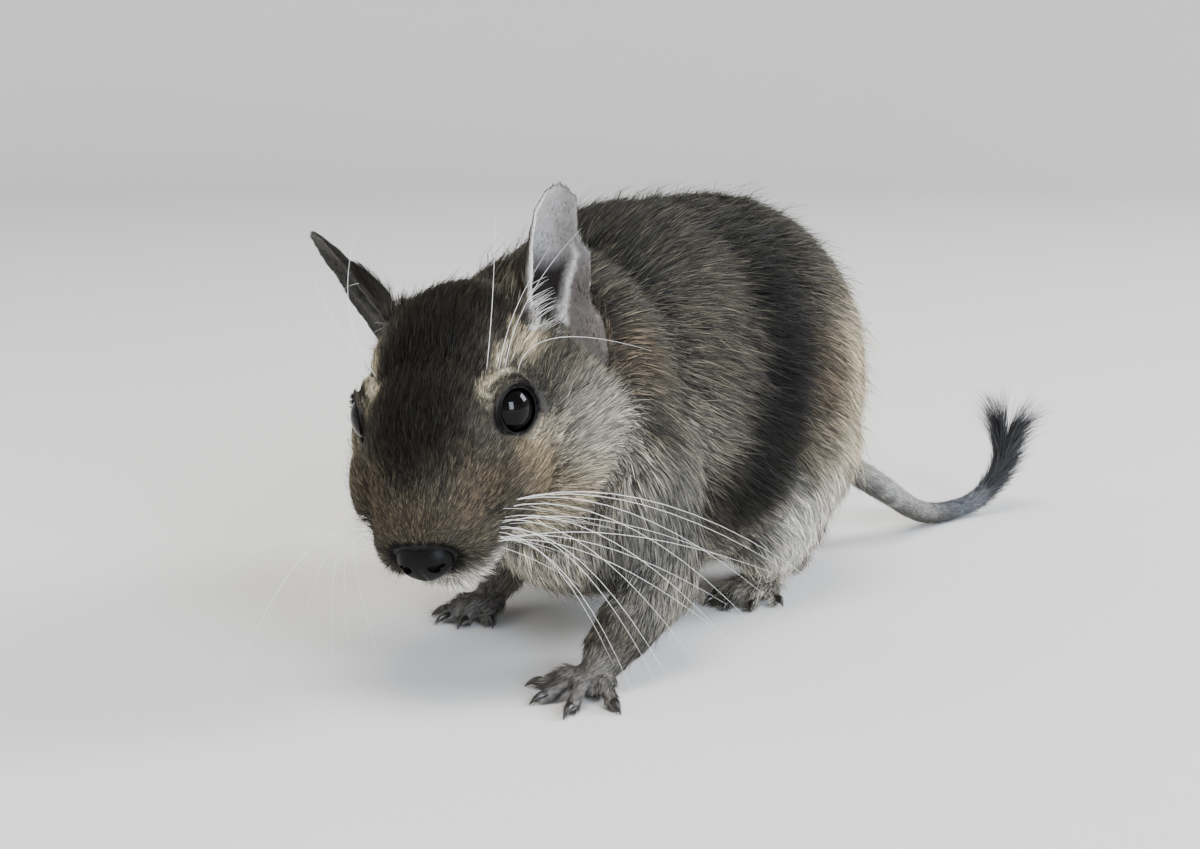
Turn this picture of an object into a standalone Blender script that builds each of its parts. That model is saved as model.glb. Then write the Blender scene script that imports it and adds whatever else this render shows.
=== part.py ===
"""A degu, life size, as a still museum model: it crouches on the floor with its head turned to its left.

The nose points towards -Y, +X is the animal's left and +Z is up. The forms are made in
millimetres, and the last step brings the finished nodes to metres. Every solid has the outer
shape of the coat, so the short fur lies inside it.
"""
import math
import random

import bmesh
import bpy
from mathutils import Euler, Matrix, Vector

METRES_PER_MM = 0.001
GAP = 0.35
SEED = 7
WELD = 0.002
TOUCH = 0.00002

# Hair-wide moves and grid sizes that are tried in turn until a cut or a fused skin is closed
NUDGES = (0.0, 0.011, -0.023, 0.037)
VOXEL_SHARES = (1.0, 0.97, 1.03, 0.94, 1.06)

# Fused skins: grid size, softening rounds and the number of triangles that is kept
FLESH_SKIN = (1.15, 6, 3300)
HEAD_SKIN = (0.75, 4, 2900)
FOREFOOT_SKIN = (0.38, 2, 700)
HINDFOOT_SKIN = (0.4, 2, 620)

# The body, from the nape to the rump
BODY_WIDTH = 59.0
BACK_HEIGHT = 71.5
RUMP_BACK = 43.5

# The head: its place between the eyes, and its turn, tilt and nod in degrees
HEAD_CENTRE = Vector((2.3, -63.9, 43.6))
HEAD_TURN = 16.5
HEAD_TILT = -6.5
HEAD_NOD = 41.0

# Eyes, in the head's axes
EYE_RADIUS = 4.1
EYE_CENTRE = Vector((10.0, -0.4, -0.7))
EYE_AXIS = Vector((0.86, -0.42, 0.28))
EYE_GAP = 0.3
LID_THICKNESS = 0.85
LID_LENGTH = 3.2
LID_HEIGHT = 2.8
LID_LIFT = 0.55
LID_RADIUS = 0.5

# Nose and mouth
NOSE_CENTRE = Vector((0, -22.0, -7.2))
NOSE_RADII = (4.1, 2.6, 2.7)
NOSTRIL_RADII = (1.15, 1.6, 0.55)
LIP_RADIUS = 0.55

# Ears: a cup's place on the head, the way that it rises and the way that it opens
EAR_THICKNESS = 0.9
EAR_BASE = {1: Vector((14.6, 13.0, -2.4)), -1: Vector((-11.6, 14.0, 1.0))}
EAR_RISE = {1: Vector((2.9, 16.4, 16.8)), -1: Vector((-15.5, 17.3, 6.9))}
EAR_OPENING = {1: Vector((0.66, -0.55, 0.32)), -1: Vector((-0.72, -0.55, 0.12))}

# Tail
BRUSH_LOCKS = 34
LOCK_LENGTH = 10.5
LOCK_WIDTH = 1.15
LOCK_THICKNESS = 0.6

# Feet
TOE_RADIUS = 1.35
CLAW_RADIUS = 0.8
CLAW_TIP = 0.36
FLOOR_DIP = 0.35


def clear_scene():
    for obj in list(bpy.data.objects):
        bpy.data.objects.remove(obj, do_unlink=True)


def collection(name):
    made = bpy.data.collections.new(name)
    bpy.context.scene.collection.children.link(made)
    return made


clear_scene()
PARTS = collection("degu")
TOOLS = collection("cutters")


def material(name, colour, roughness):
    made = bpy.data.materials.new(name)
    made.use_nodes = True
    shader = made.node_tree.nodes["Principled BSDF"]
    shader.inputs["Base Color"].default_value = (*colour, 1.0)
    shader.inputs["Roughness"].default_value = roughness
    shader.inputs["Metallic"].default_value = 0.0
    return made


def add_object(name, mesh):
    made = bpy.data.objects.new(name, mesh)
    TOOLS.objects.link(made)
    return made


def remove(obj):
    bpy.data.objects.remove(obj, do_unlink=True)


def from_bmesh(name, shape):
    mesh = bpy.data.meshes.new(name)
    shape.to_mesh(mesh)
    shape.free()
    return add_object(name, mesh)


def frozen(obj):
    """Replaces an object by its evaluated mesh in world space."""
    bpy.context.view_layer.update()
    graph = bpy.context.evaluated_depsgraph_get()
    mesh = bpy.data.meshes.new_from_object(obj.evaluated_get(graph), depsgraph=graph)
    mesh.transform(obj.matrix_world)
    name = obj.name
    remove(obj)
    return add_object(name, mesh)


def welded(obj):
    """Joins the loose caps of a tube to its wall."""
    shape = bmesh.new()
    shape.from_mesh(obj.data)
    bmesh.ops.remove_doubles(shape, verts=shape.verts, dist=WELD)
    shape.to_mesh(obj.data)
    shape.free()
    return obj


# Plain forms

def ball(centre, radii, turn=(0.0, 0.0, 0.0), segments=32):
    """An ellipsoid, turned about X, Y and Z in degrees."""
    shape = bmesh.new()
    bmesh.ops.create_uvsphere(shape, u_segments=segments, v_segments=segments // 2, radius=1.0)
    made = from_bmesh("ball", shape)
    spin = Euler([math.radians(angle) for angle in turn]).to_matrix().to_4x4()
    size = Matrix.Diagonal((*radii, 1.0))
    made.data.transform(Matrix.Translation(Vector(centre)) @ spin @ size)
    return made


def tube(points, radii, resolution=2, cyclic=False):
    """A tube through the points, with a radius at each."""
    curve = bpy.data.curves.new("tube", "CURVE")
    curve.dimensions = "3D"
    curve.bevel_depth = 1.0
    curve.bevel_resolution = resolution
    curve.use_fill_caps = True
    line = curve.splines.new("POLY")
    line.points.add(len(points) - 1)
    line.use_cyclic_u = cyclic
    for place, point, radius in zip(line.points, points, radii):
        place.co = (*point, 1.0)
        place.radius = radius
    return welded(frozen(add_object("tube", curve)))


def block(point, normal, reach=300.0):
    """A large block with its face at a point, on the side that the normal points to."""
    shape = bmesh.new()
    bmesh.ops.create_cube(shape, size=reach)
    bmesh.ops.translate(shape, verts=shape.verts, vec=(0, 0, reach / 2))
    made = from_bmesh("block", shape)
    spin = Vector(normal).to_track_quat("Z", "Y").to_matrix().to_4x4()
    made.data.transform(Matrix.Translation(Vector(point)) @ spin)
    return made


def smooth_path(points, steps):
    """Points on a smooth curve through the given ones, with steps to each stretch."""
    points = [Vector(point) for point in points]
    ends = [points[0] * 2 - points[1], *points, points[-1] * 2 - points[-2]]
    found = []
    for a, b, c, d in zip(ends, ends[1:], ends[2:], ends[3:]):
        for i in range(steps):
            t = i / steps
            found.append(0.5 * (2 * b + (c - a) * t + (2 * a - 5 * b + 4 * c - d) * t * t
                                + (3 * b - 3 * c + d - a) * t ** 3))
    return [*found, points[-1]]


def between(table, t):
    """A value read from (place, value) pairs, eased between them."""
    for (low, first), (high, second) in zip(table, table[1:]):
        if t <= high:
            share = (t - low) / (high - low)
            share = share * share * (3 - 2 * share)
            return first + (second - first) * share
    return table[-1][1]


# Joining and cutting

def joined(name, pieces):
    """Puts the pieces in one mesh, still as separate shells."""
    shape = bmesh.new()
    for piece in pieces:
        shape.from_mesh(piece.data)
        remove(piece)
    return from_bmesh(name, shape)


def fuse(name, pieces, voxel, rounds, triangles):
    """Fuses overlapping pieces into one soft skin of about the given number of triangles."""
    whole = joined(name, pieces)
    for share in VOXEL_SHARES:
        made = copy_of(whole)
        remesh = made.modifiers.new("one skin", "REMESH")
        remesh.mode = "VOXEL"
        remesh.voxel_size = voxel * share
        soften = made.modifiers.new("soften", "SMOOTH")
        soften.factor = 0.5
        soften.iterations = rounds
        made = frozen(made)
        count = sum(len(face.vertices) - 2 for face in made.data.polygons)
        thin = made.modifiers.new("fewer faces", "DECIMATE")
        thin.ratio = min(1.0, triangles / count)
        made = largest(frozen(made))
        if is_closed(made):
            remove(whole)
            made.name = name
            return made
        remove(made)
    raise ValueError("no voxel size closes " + name)


def is_closed(obj):
    """Whether every edge joins just two triangles, with no place where the surface touches itself."""
    shape = bmesh.new()
    shape.from_mesh(obj.data)
    bmesh.ops.triangulate(shape, faces=shape.faces)
    closed = all(len(edge.link_faces) == 2 for edge in shape.edges)
    bmesh.ops.remove_doubles(shape, verts=shape.verts, dist=TOUCH)
    closed = closed and all(len(edge.link_faces) == 2 for edge in shape.edges)
    shape.free()
    return closed


def boolean(obj, other, operation):
    """Applies a Boolean with an object or a collection.

    Where EXACT leaves a fault MANIFOLD takes its place, and then the cutter moves by a hair.
    """
    whole = isinstance(other, bpy.types.Collection)
    for nudge in NUDGES:
        for piece in (other.objects if whole else [other]):
            piece.data.transform(Matrix.Translation((nudge, nudge, nudge)))
        for solver in ("EXACT", "MANIFOLD"):
            made = copy_of(obj)
            step = made.modifiers.new("boolean", "BOOLEAN")
            step.operation = operation
            step.solver = solver
            if whole:
                step.operand_type = "COLLECTION"
                step.collection = other
            else:
                step.object = other
            made = largest(frozen(made))
            if is_closed(made):
                remove(obj)
                return made
            remove(made)
    raise ValueError("no solver closes " + obj.name)


def largest(obj):
    """Keeps the largest closed surface of an object."""
    shape = bmesh.new()
    shape.from_mesh(obj.data)
    shells, left = [], set(shape.verts)
    while left:
        shell, todo = set(), [left.pop()]
        while todo:
            vert = todo.pop()
            shell.add(vert)
            for edge in vert.link_edges:
                other = edge.other_vert(vert)
                if other in left:
                    left.remove(other)
                    todo.append(other)
        shells.append(shell)
    shells.sort(key=len)
    loose = [vert for shell in shells[:-1] for vert in shell]
    bmesh.ops.delete(shape, geom=loose, context="VERTS")
    shape.to_mesh(obj.data)
    shape.free()
    return obj


def union(base, pieces):
    """Joins closed pieces to a base in one Boolean, and keeps the one body."""
    group = collection("joining")
    for piece in pieces:
        TOOLS.objects.unlink(piece)
        group.objects.link(piece)
    made = boolean(base, group, "UNION")
    for piece in list(group.objects):
        remove(piece)
    bpy.data.collections.remove(group)
    return made


def cut(obj, *cutters):
    """Subtracts cutters one after another and keeps the largest body that is left."""
    for cutter in cutters:
        obj = boolean(obj, cutter, "DIFFERENCE")
        remove(cutter)
    return obj


def kept(obj, region):
    """The part of a copy of an object that lies in a region."""
    return boolean(copy_of(obj), region, "INTERSECT")


def copy_of(obj):
    return add_object(obj.name + "_copy", obj.data.copy())


def grown(obj, by=GAP):
    """A copy of a closed shape that is larger all over by a small distance."""
    made = copy_of(obj)
    swell = made.modifiers.new("swell", "DISPLACE")
    swell.mid_level = 0.0
    swell.strength = by
    return frozen(made)


def finish(obj, name, look):
    """Makes a shape a node of the model."""
    obj.name = name
    obj.data.name = name
    obj.data.materials.clear()
    obj.data.materials.append(look)
    obj.data.shade_smooth()
    obj.data.set_sharp_from_angle(angle=math.radians(50))
    TOOLS.objects.unlink(obj)
    PARTS.objects.link(obj)
    return obj


# The head's own axes: x to its left, y backward, z up, from the point between the eyes
HEAD = (Matrix.Translation(HEAD_CENTRE)
        @ Matrix.Rotation(math.radians(HEAD_TURN), 4, "Z")
        @ Matrix.Rotation(math.radians(HEAD_TILT), 4, "Y")
        @ Matrix.Rotation(math.radians(HEAD_NOD), 4, "X"))


def head_point(point):
    return HEAD @ Vector(point)


def on_head(obj):
    obj.data.transform(HEAD)
    return obj


def mirrored(vector, side):
    return Vector((vector.x * side, vector.y, vector.z))


def facing(axis, up):
    """A turn whose X lies along the axis and whose Z is as near to up as it can be."""
    x = Vector(axis).normalized()
    y = Vector(up).cross(x).normalized()
    return Matrix((x, y, x.cross(y))).transposed().to_4x4()


def head_forms():
    """Cranium, brows, cheeks, muzzle and jaw as soft forms in the head's axes."""
    forms = [
        ball((0, 9, -2.5), (14.0, 16, 12.0)),
        ball((0, -3, -0.5), (10.8, 14, 9.0)),
        ball((0, -9, -5.0), (10.0, 13, 9.0)),
        ball((0, -14.5, -6.5), (8.6, 9.0, 8.0)),
        ball((0, 2, -11), (13, 16, 8.5)),
        ball((0, -12.4, -14.8), (6.8, 8.2, 5.0)),
    ]
    for side in (1, -1):
        forms += [
            ball((8.8 * side, 5, -9.0), (10.0, 15.0, 9.4)),
            ball((7.2 * side, -5, -8), (9.0, 11.5, 8.2)),
            ball((5.0 * side, -14.5, -9.4), (5.2, 7.2, 5.4)),
            ball(mirrored(EYE_CENTRE, side), (EYE_RADIUS + LID_THICKNESS,) * 3),
        ]
    return [on_head(form) for form in forms]


def neck_forms():
    return [
        ball((3, -46, 39.5), (19, 18, 19)),
        ball((1, -35, 40), (22, 20, 25)),
    ]


def chest_form():
    return ball((0, -11, 38.5), (BODY_WIDTH / 2 - 3, 33, BACK_HEIGHT - 38.5))


def torso_forms():
    half = BODY_WIDTH / 2
    return [
        chest_form(),
        ball((0, 12, 39), (half, RUMP_BACK - 12, BACK_HEIGHT - 39)),
        ball((0, 1, 38.7), (half - 1, 31, BACK_HEIGHT - 38.7)),
        ball((0, 2, 27), (half - 2, 32, 21)),
        ball((0, 17, 27), (half - 8, 17, 19)),
        ball((6, -34, 26), (18, 17, 17)),
    ]


def elbow_of(side):
    return {1: Vector((23, -33, 16)), -1: Vector((-17.5, -24, 15))}[side]


def wrist_of(side):
    return {1: Vector((22.3, -48.5, 6.2)), -1: Vector((-18.0, -23.5, 6.0))}[side]


def foreleg_forms(side):
    """Shoulder, upper arm and forearm of one side, down past the wrist."""
    shoulder = Vector((4 + 15 * side, -35, 28))
    elbow, wrist = elbow_of(side), wrist_of(side)
    past = wrist + (wrist - elbow).normalized() * 2
    return [
        ball(shoulder, (9, 12, 14)),
        tube([shoulder, elbow], [8.5, 7]),
        tube([elbow, (elbow + wrist) / 2, wrist, past], [7.2, 5.9, 4.3, 3.4]),
    ]


def hindleg_forms(side):
    """Haunch and knee of one side."""
    return [
        ball((18.5 * side, 11.5, 30), (11.6, 18.5, 19.5)),
        ball((18.5 * side, 5, 17), (8.2, 12, 11.0)),
        ball((15 * side, 18, 14), (6.8, 10, 8.5)),
    ]


def eye_turn(side):
    return facing(mirrored(EYE_AXIS, side), (0.0, 0.2, 1.0))


def lid_rim(side):
    """The edge of both lids, as a ring round the opening."""
    steps = 16
    points = []
    for i in range(steps):
        angle = 2 * math.pi * i / steps
        across, rise = LID_LENGTH * math.cos(angle), LID_HEIGHT * math.sin(angle)
        bulge = math.sqrt((EYE_RADIUS + LID_LIFT) ** 2 - across ** 2 - rise ** 2)
        points.append(Vector((bulge, across, rise)))
    ring = tube(points, [LID_RADIUS] * steps, 1, cyclic=True)
    ring.data.transform(HEAD @ Matrix.Translation(mirrored(EYE_CENTRE, side)) @ eye_turn(side))
    return ring


def eye_cutters(side):
    """The opening between the lids, and then the socket that holds the eyeball."""
    centre = Matrix.Translation(mirrored(EYE_CENTRE, side))
    socket = ball((0, 0, 0), (EYE_RADIUS + EYE_GAP,) * 3, segments=16)
    opening = ball((4.5, 0, 0), (5.5, LID_LENGTH, LID_HEIGHT), segments=16)
    for cutter in (socket, opening):
        cutter.data.transform(HEAD @ centre @ eye_turn(side))
    return [opening, socket]


def eyeball(side):
    made = ball((0, 0, 0), (EYE_RADIUS,) * 3, segments=16)
    made.data.transform(HEAD @ Matrix.Translation(mirrored(EYE_CENTRE, side)))
    return made


def at_surface(obj, points):
    """The nearest points of an object's surface to points in the head's axes."""
    found = []
    for point in points:
        hit, place, *_ = obj.closest_point_on_mesh(head_point(point))
        found.append(place)
    return found


def mouth_cutters(head):
    """The cleft below the nose and the line of the mouth to each corner."""
    cleft = [Vector((0, -24.6, -9.2)), Vector((0, -23.2, -11.6)), Vector((0, -21.0, -13.4))]
    cutters = [tube(at_surface(head, cleft), [0.45, 0.6, 0.7], 1)]
    for side in (1, -1):
        line = smooth_path([(0, -21.0, -13.4), (3.6 * side, -18.6, -14.6),
                            (6.4 * side, -14.0, -14.2), (8.6 * side, -9.6, -12.4)], 3)
        radii = [0.75 - 0.045 * i for i in range(len(line))]
        cutters.append(tube(at_surface(head, line), radii, 1))
    return cutters


def lips(head):
    """The rolled edge of the upper and lower lip on both sides."""
    rolls = []
    for side in (1, -1):
        for drop in (1.0, -1.15):
            line = smooth_path([(0.8 * side, -20.6, -13.6 + drop),
                                (3.6 * side, -18.4, -14.6 + drop),
                                (6.4 * side, -14.0, -14.2 + drop),
                                (8.4 * side, -9.8, -12.4 + drop)], 3)
            radii = [LIP_RADIUS * (1.1 - 0.05 * i) for i in range(len(line))]
            rolls.append(tube(at_surface(head, line), radii, 1))
    return rolls


def nose_pad():
    return on_head(ball(NOSE_CENTRE, NOSE_RADII, turn=(-12, 0, 0), segments=20))


def nostril_cutters():
    cutters = []
    for side in (1, -1):
        place = NOSE_CENTRE + Vector((2.0 * side, -2.2, -0.3))
        nostril = ball(place, NOSTRIL_RADII, turn=(0, 28 * side, 35 * side), segments=12)
        cutters.append(on_head(nostril))
    return cutters


# The ear's outline: its height up the ear, and its inner and outer edge there
EAR_LOW = -3.0
EAR_HIGH = 24.0
EAR_INNER = [(-3.0, 0.6), (-1.0, -2.6), (2.5, -3.7), (12.0, -4.0), (16.0, -4.0),
             (19.5, -3.7), (22.3, -2.4), (24.0, -0.5)]
EAR_OUTER = [(-3.0, 1.8), (-1.4, 5.2), (0.8, 6.8), (3.5, 7.0), (9.0, 5.6), (14.6, 5.5),
             (16.2, 4.2), (18.5, 3.7), (21.6, 3.6), (23.3, 2.2), (24.0, 0.5)]
# The depth of its cup, and how far its inner wall bulges beyond the inner edge
EAR_CUP = [(-3.0, 0.4), (0.5, 6.0), (5.0, 6.8), (10.0, 5.6), (16.0, 3.4), (21.0, 1.8), (24.0, 0.3)]
EAR_BULGE = [(-3.0, 0.0), (1.0, 2.2), (8.0, 2.4), (14.0, 1.3), (20.0, 0.3), (24.0, 0.0)]
# Where the outer lobe folds forward from the cup, as a share of the width, and how high the lobe goes
EAR_FOLD = 0.62
EAR_LOBE_TOP = (11.0, 16.0)


def ear_depth(height, share):
    """How deep the cup is at a share of its width, counted from its inner edge."""
    cup = between(EAR_CUP, height)
    round_cup = cup * math.sin(math.pi * share)
    hollow = cup * max(0.0, math.sin(math.pi * min(share / (EAR_FOLD + 0.04), 1.0))) ** 0.7
    lobe = 0.3 * cup * min(1.0, (1 - share) / (1 - EAR_FOLD))
    folded = max(hollow, lobe if share > EAR_FOLD / 2 else 0.0)
    low, high = EAR_LOBE_TOP
    plain = between([(low, 0.0), (high, 1.0)], max(low, height))
    return folded + (round_cup - folded) * plain


def ear(side):
    """A cupped ear with a stepped outer edge and a folded lobe, as a thin curved shell."""
    rows = 15
    columns = 12
    rise = EAR_RISE[side].normalized()
    opening = EAR_OPENING[side]
    out = (opening - rise * opening.dot(rise)).normalized()
    across = rise.cross(out) * side
    shape = bmesh.new()
    grid = []
    for i in range(rows + 1):
        height = EAR_LOW + (EAR_HIGH - EAR_LOW) * i / rows
        inner, outer = between(EAR_INNER, height), between(EAR_OUTER, height)
        bulge = between(EAR_BULGE, height)
        line = []
        for j in range(columns + 1):
            share = j / columns
            aside = inner + (outer - inner) * share - bulge * math.sin(math.pi * min(1.0, share / 0.6))
            place = EAR_BASE[side] + rise * height + across * aside - out * ear_depth(height, share)
            line.append(shape.verts.new(place))
        grid.append(line)
    for low, high in zip(grid, grid[1:]):
        for j in range(columns):
            shape.faces.new((low[j], low[j + 1], high[j + 1], high[j]))
    made = from_bmesh("ear", shape)
    shell = made.modifiers.new("thickness", "SOLIDIFY")
    shell.thickness = EAR_THICKNESS
    shell.offset = 0.0
    shell.use_even_offset = True
    return outward(on_head(frozen(made)))


def outward(obj):
    """Turns the faces of a closed shape so that they point out."""
    shape = bmesh.new()
    shape.from_mesh(obj.data)
    bmesh.ops.recalc_face_normals(shape, faces=shape.faces)
    shape.to_mesh(obj.data)
    shape.free()
    return obj


def toe(root, knuckle, pad, tip):
    """A toe from its root over the knuckle to its pad, and its claw."""
    end = pad + (tip - pad) * 0.45
    digit = tube(smooth_path([root, knuckle, pad, end], 2),
                 [1.7, 1.6, 1.45, TOE_RADIUS, TOE_RADIUS, TOE_RADIUS, 0.8], 1)
    claw = tube([pad, end + Vector((0, 0, 0.4)), tip], [0.9, CLAW_RADIUS, CLAW_TIP], 1)
    return [digit, claw]


def foot(name, core, digits, grain):
    """Fuses a foot with its toes and claws, and flattens the sole on the floor."""
    pieces = [piece for digit in digits for piece in toe(*digit)]
    made = fuse(name, [*core, *pieces], *grain)
    return cut(made, block((0, 0, 0), (0, 0, -1)))


# Toe tips on the floor: place, and how far the toe spreads from its root
FORE_TIPS = {
    1: [(12.5, -56.0), (18.0, -62.3), (25.6, -64.8), (30.8, -58.5)],
    -1: [(-24.2, -34.0), (-20.8, -37.4), (-16.0, -37.6), (-11.8, -34.0)],
}
FORE_PALM = {1: Vector((22.3, -52.6, 2.8)), -1: Vector((-18.2, -27.0, 2.8))}


def forefoot(side):
    palm, elbow, wrist = FORE_PALM[side], elbow_of(side), wrist_of(side)
    arm = [elbow, (elbow + wrist) / 2, wrist, (wrist * 2 + palm) / 3, palm]
    core = [
        tube(arm, [7.2, 5.9, 4.3, 3.6, 2.6]),
        ball(palm + Vector((0, -0.6, -0.5)), (4.2, 3.4, 2.2)),
    ]
    digits = []
    for x, y in FORE_TIPS[side]:
        tip = Vector((x, y, 0.35))
        reach = tip - palm
        root = palm + Vector((reach.x * 0.2, reach.y * 0.2, -0.4))
        knuckle = palm + Vector((reach.x * 0.42, reach.y * 0.42, 0.2))
        pad = palm + Vector((reach.x * 0.72, reach.y * 0.72, 0))
        pad.z = TOE_RADIUS - FLOOR_DIP
        digits.append((root, knuckle, pad, tip))
    made = foot("forefoot", core, digits, FOREFOOT_SKIN)
    return cut(made, block(wrist, elbow - wrist))


HIND_TIPS = [(8.6, 3.6), (10.4, -1.8), (14.6, -2.6), (18.6, -0.4), (21.2, 5.4)]
HEEL = Vector((10.8, 28.0, 4.6))
HIND_BALL = Vector((14.4, 9.5, 2.9))


def hindfoot(side):
    heel, toes = mirrored(HEEL, side), mirrored(HIND_BALL, side)
    middle = heel.lerp(toes, 0.5) + Vector((0, 0, 0.3))
    core = [
        tube([heel + Vector((0, 0.5, 3.5)), heel, middle, toes], [2.6, 3.2, 3.0, 2.9]),
        ball(toes + Vector((0, 0.5, -0.8)), (4.6, 4.6, 2.3)),
        ball(heel + Vector((0, -1.0, -2.0)), (3.0, 4.6, 3.0)),
    ]
    digits = []
    for x, y in HIND_TIPS:
        tip = Vector((x * side, y, 0.35))
        reach = tip - toes
        root = toes + Vector((reach.x * 0.35, reach.y * 0.12, -0.5))
        knuckle = toes + Vector((reach.x * 0.62, reach.y * 0.45, 0.1))
        pad = toes + Vector((reach.x * 0.85, reach.y * 0.74, 0))
        pad.z = TOE_RADIUS - FLOOR_DIP
        digits.append((root, knuckle, pad, tip))
    return foot("hindfoot", core, digits, HINDFOOT_SKIN)


# The tail's path, from inside the rump over the floor to its raised tip
TAIL_POINTS = [(2, 34, 25), (7.4, 43, 20.4), (12.6, 51, 14.6), (15.2, 59, 9.6), (15.4, 67, 5.6),
               (15.6, 75, 2.9), (17.2, 83.5, 2.2), (19.4, 90.5, 3.6), (21.2, 96, 8.2),
               (21.6, 98.4, 14.6)]
TAIL_RADII = [(0.0, 3.5), (0.2, 3.0), (0.4, 2.5), (0.78, 2.2), (0.93, 1.9), (1.0, 1.2)]
TAIL_SPLITS = (0.44, 0.80)
TAIL_GAP = 0.0045
BRUSH_ROOTS = (0.85, 0.99)


def tail_place(t):
    path = smooth_path(TAIL_POINTS, 6)
    step = t * (len(path) - 1)
    low = min(int(step), len(path) - 2)
    return path[low].lerp(path[low + 1], step - low)


def tail_length(start, end, steps):
    places = [start + (end - start) * i / steps for i in range(steps + 1)]
    made = tube([tail_place(t) for t in places], [between(TAIL_RADII, t) for t in places], 2)
    return cut(made, block((0, 0, 0), (0, 0, -1)))


def lock(draw, t):
    """One flat lock of the brush, rooted in the tail and bent out towards its tip."""
    start = tail_place(t)
    ahead = (tail_place(min(1.0, t + 0.02)) - tail_place(t - 0.02)).normalized()
    side = ahead.orthogonal().normalized()
    side.rotate(Matrix.Rotation(draw.uniform(0, 2 * math.pi), 3, ahead))
    lean = draw.uniform(0.3, 0.62)
    length = LOCK_LENGTH * draw.uniform(0.8, 1.15)
    middle = (ahead + side * lean) * (length * 0.45)
    end = (ahead + side * lean * 0.8) * length
    made = tube(smooth_path([Vector(), middle, end], 2), [0.75, 1.0, 0.95, 0.7, 0.12], 0)
    basis = Matrix((ahead.cross(side).normalized(), side, ahead)).transposed().to_4x4()
    flat = Matrix.Diagonal((LOCK_WIDTH, LOCK_THICKNESS, 1.0, 1.0))
    made.data.transform(Matrix.Translation(start) @ basis @ flat @ basis.inverted())
    return made


def tail_brush():
    draw = random.Random(SEED)
    core = tail_length(TAIL_SPLITS[1] + TAIL_GAP, 1.0, 8)
    first, last = BRUSH_ROOTS
    locks = [lock(draw, first + (last - first) * i / (BRUSH_LOCKS - 1)) for i in range(BRUSH_LOCKS)]
    return cut(union(core, locks), block((0, 0, 0), (0, 0, -1)))


# Regions that part the fused body into head, neck, torso and legs
NAPE = Vector((3, -37, 46))
NAPE_AXIS = Vector((0, -0.94, 0.34))

def head_region():
    return on_head(ball((0, -6, -3), (31, 33.5, 24), segments=20))


def foreleg_region(side):
    x, y = {1: (23, -37), -1: (-16.5, -29)}[side]
    return ball((x, y, 16), (12.5, 15, 20), turn=(0, 8 * side, 0), segments=20)


def hindleg_region(side):
    return ball((22.5 * side, 15, 22), (15.5, 24, 25), segments=20)


def stand_on_origin():
    """Moves the bottom centre of the model's bounding box to the origin, and brings it to metres."""
    places = [vert.co for obj in PARTS.objects for vert in obj.data.vertices]
    low = Vector([min(place[axis] for place in places) for axis in range(3)])
    high = Vector([max(place[axis] for place in places) for axis in range(3)])
    centre = (low + high) / 2
    metres = Matrix.Scale(METRES_PER_MM, 4)
    for obj in PARTS.objects:
        obj.data.transform(metres @ Matrix.Translation((-centre.x, -centre.y, -low.z)))


def build():
    coat = material("agouti coat", (0.12, 0.10, 0.08), 0.9)
    skin = material("ear skin", (0.12, 0.09, 0.08), 0.7)
    paw = material("foot hair", (0.25, 0.24, 0.23), 0.8)
    silver = material("tail hair", (0.22, 0.22, 0.22), 0.85)
    black = material("tail brush", (0.03, 0.035, 0.04), 0.8)
    wet = material("eye", (0.006, 0.005, 0.005), 0.05)

    limbs = [form for side in (1, -1) for form in (*foreleg_forms(side), *hindleg_forms(side))]
    flesh = fuse("flesh", [*torso_forms(), *neck_forms(), *head_forms(), *limbs], *FLESH_SKIN)
    fine = fuse("head", [*neck_forms(), *head_forms(), chest_form()], *HEAD_SKIN)

    region = head_region()
    head = kept(fine, region)
    flesh = cut(flesh, grown(region))
    remove(region)
    remove(fine)

    names = {1: "left", -1: "right"}
    legs = {}
    for side in (1, -1):
        for kind, make_region in (("foreleg_", foreleg_region), ("hindleg_", hindleg_region)):
            region = make_region(side)
            leg = kept(flesh, region)
            flesh = cut(flesh, grown(region))
            remove(region)
            if kind == "foreleg_":
                down = (wrist_of(side) - elbow_of(side)).normalized()
                leg = cut(leg, block(wrist_of(side) - down * GAP, down))
            legs[kind + names[side]] = leg

    front = block(NAPE, NAPE_AXIS)
    neck = kept(flesh, front)
    remove(front)
    torso = cut(flesh, block(NAPE + Vector((0, GAP, 0)), NAPE_AXIS))

    for side in (1, -1):
        head = union(head, [lid_rim(side)])
        head = cut(head, *eye_cutters(side))
        finish(eyeball(side), "eye_" + names[side], wet)
    head = union(head, [nose_pad(), *lips(head)])
    head = cut(head, *mouth_cutters(head), *nostril_cutters())

    for side in (1, -1):
        around = grown(head)
        finish(cut(ear(side), around), "ear_" + names[side], skin)

    for side in (1, -1):
        foreleg, hindleg = legs["foreleg_" + names[side]], legs["hindleg_" + names[side]]
        finish(cut(forefoot(side), grown(torso)), "forefoot_" + names[side], paw)
        finish(cut(hindfoot(side), grown(hindleg), grown(torso)), "hindfoot_" + names[side], paw)
        finish(foreleg, "foreleg_" + names[side], coat)
        finish(hindleg, "hindleg_" + names[side], coat)

    base = tail_length(0.0, TAIL_SPLITS[0], 14)
    finish(cut(base, grown(torso)), "tail_base", silver)
    finish(tail_length(TAIL_SPLITS[0] + TAIL_GAP, TAIL_SPLITS[1], 12), "tail_mid", silver)
    finish(tail_brush(), "tail_brush", black)
    finish(head, "head", coat)
    finish(neck, "neck", coat)
    finish(torso, "torso", coat)
    stand_on_origin()


build()
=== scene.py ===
"""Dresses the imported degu: a skin with its coat, eyes, nose, claws, whiskers and tail brush.

Places and sizes are in millimetres in the pose's own axes: the nose points towards -Y, +X is
the animal's left, +Z is up and the floor is at zero. A finished piece is brought to the
frame's metres by settle.
"""
import logging
import math
from collections.abc import Callable
from dataclasses import dataclass, field
from enum import Enum

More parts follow.
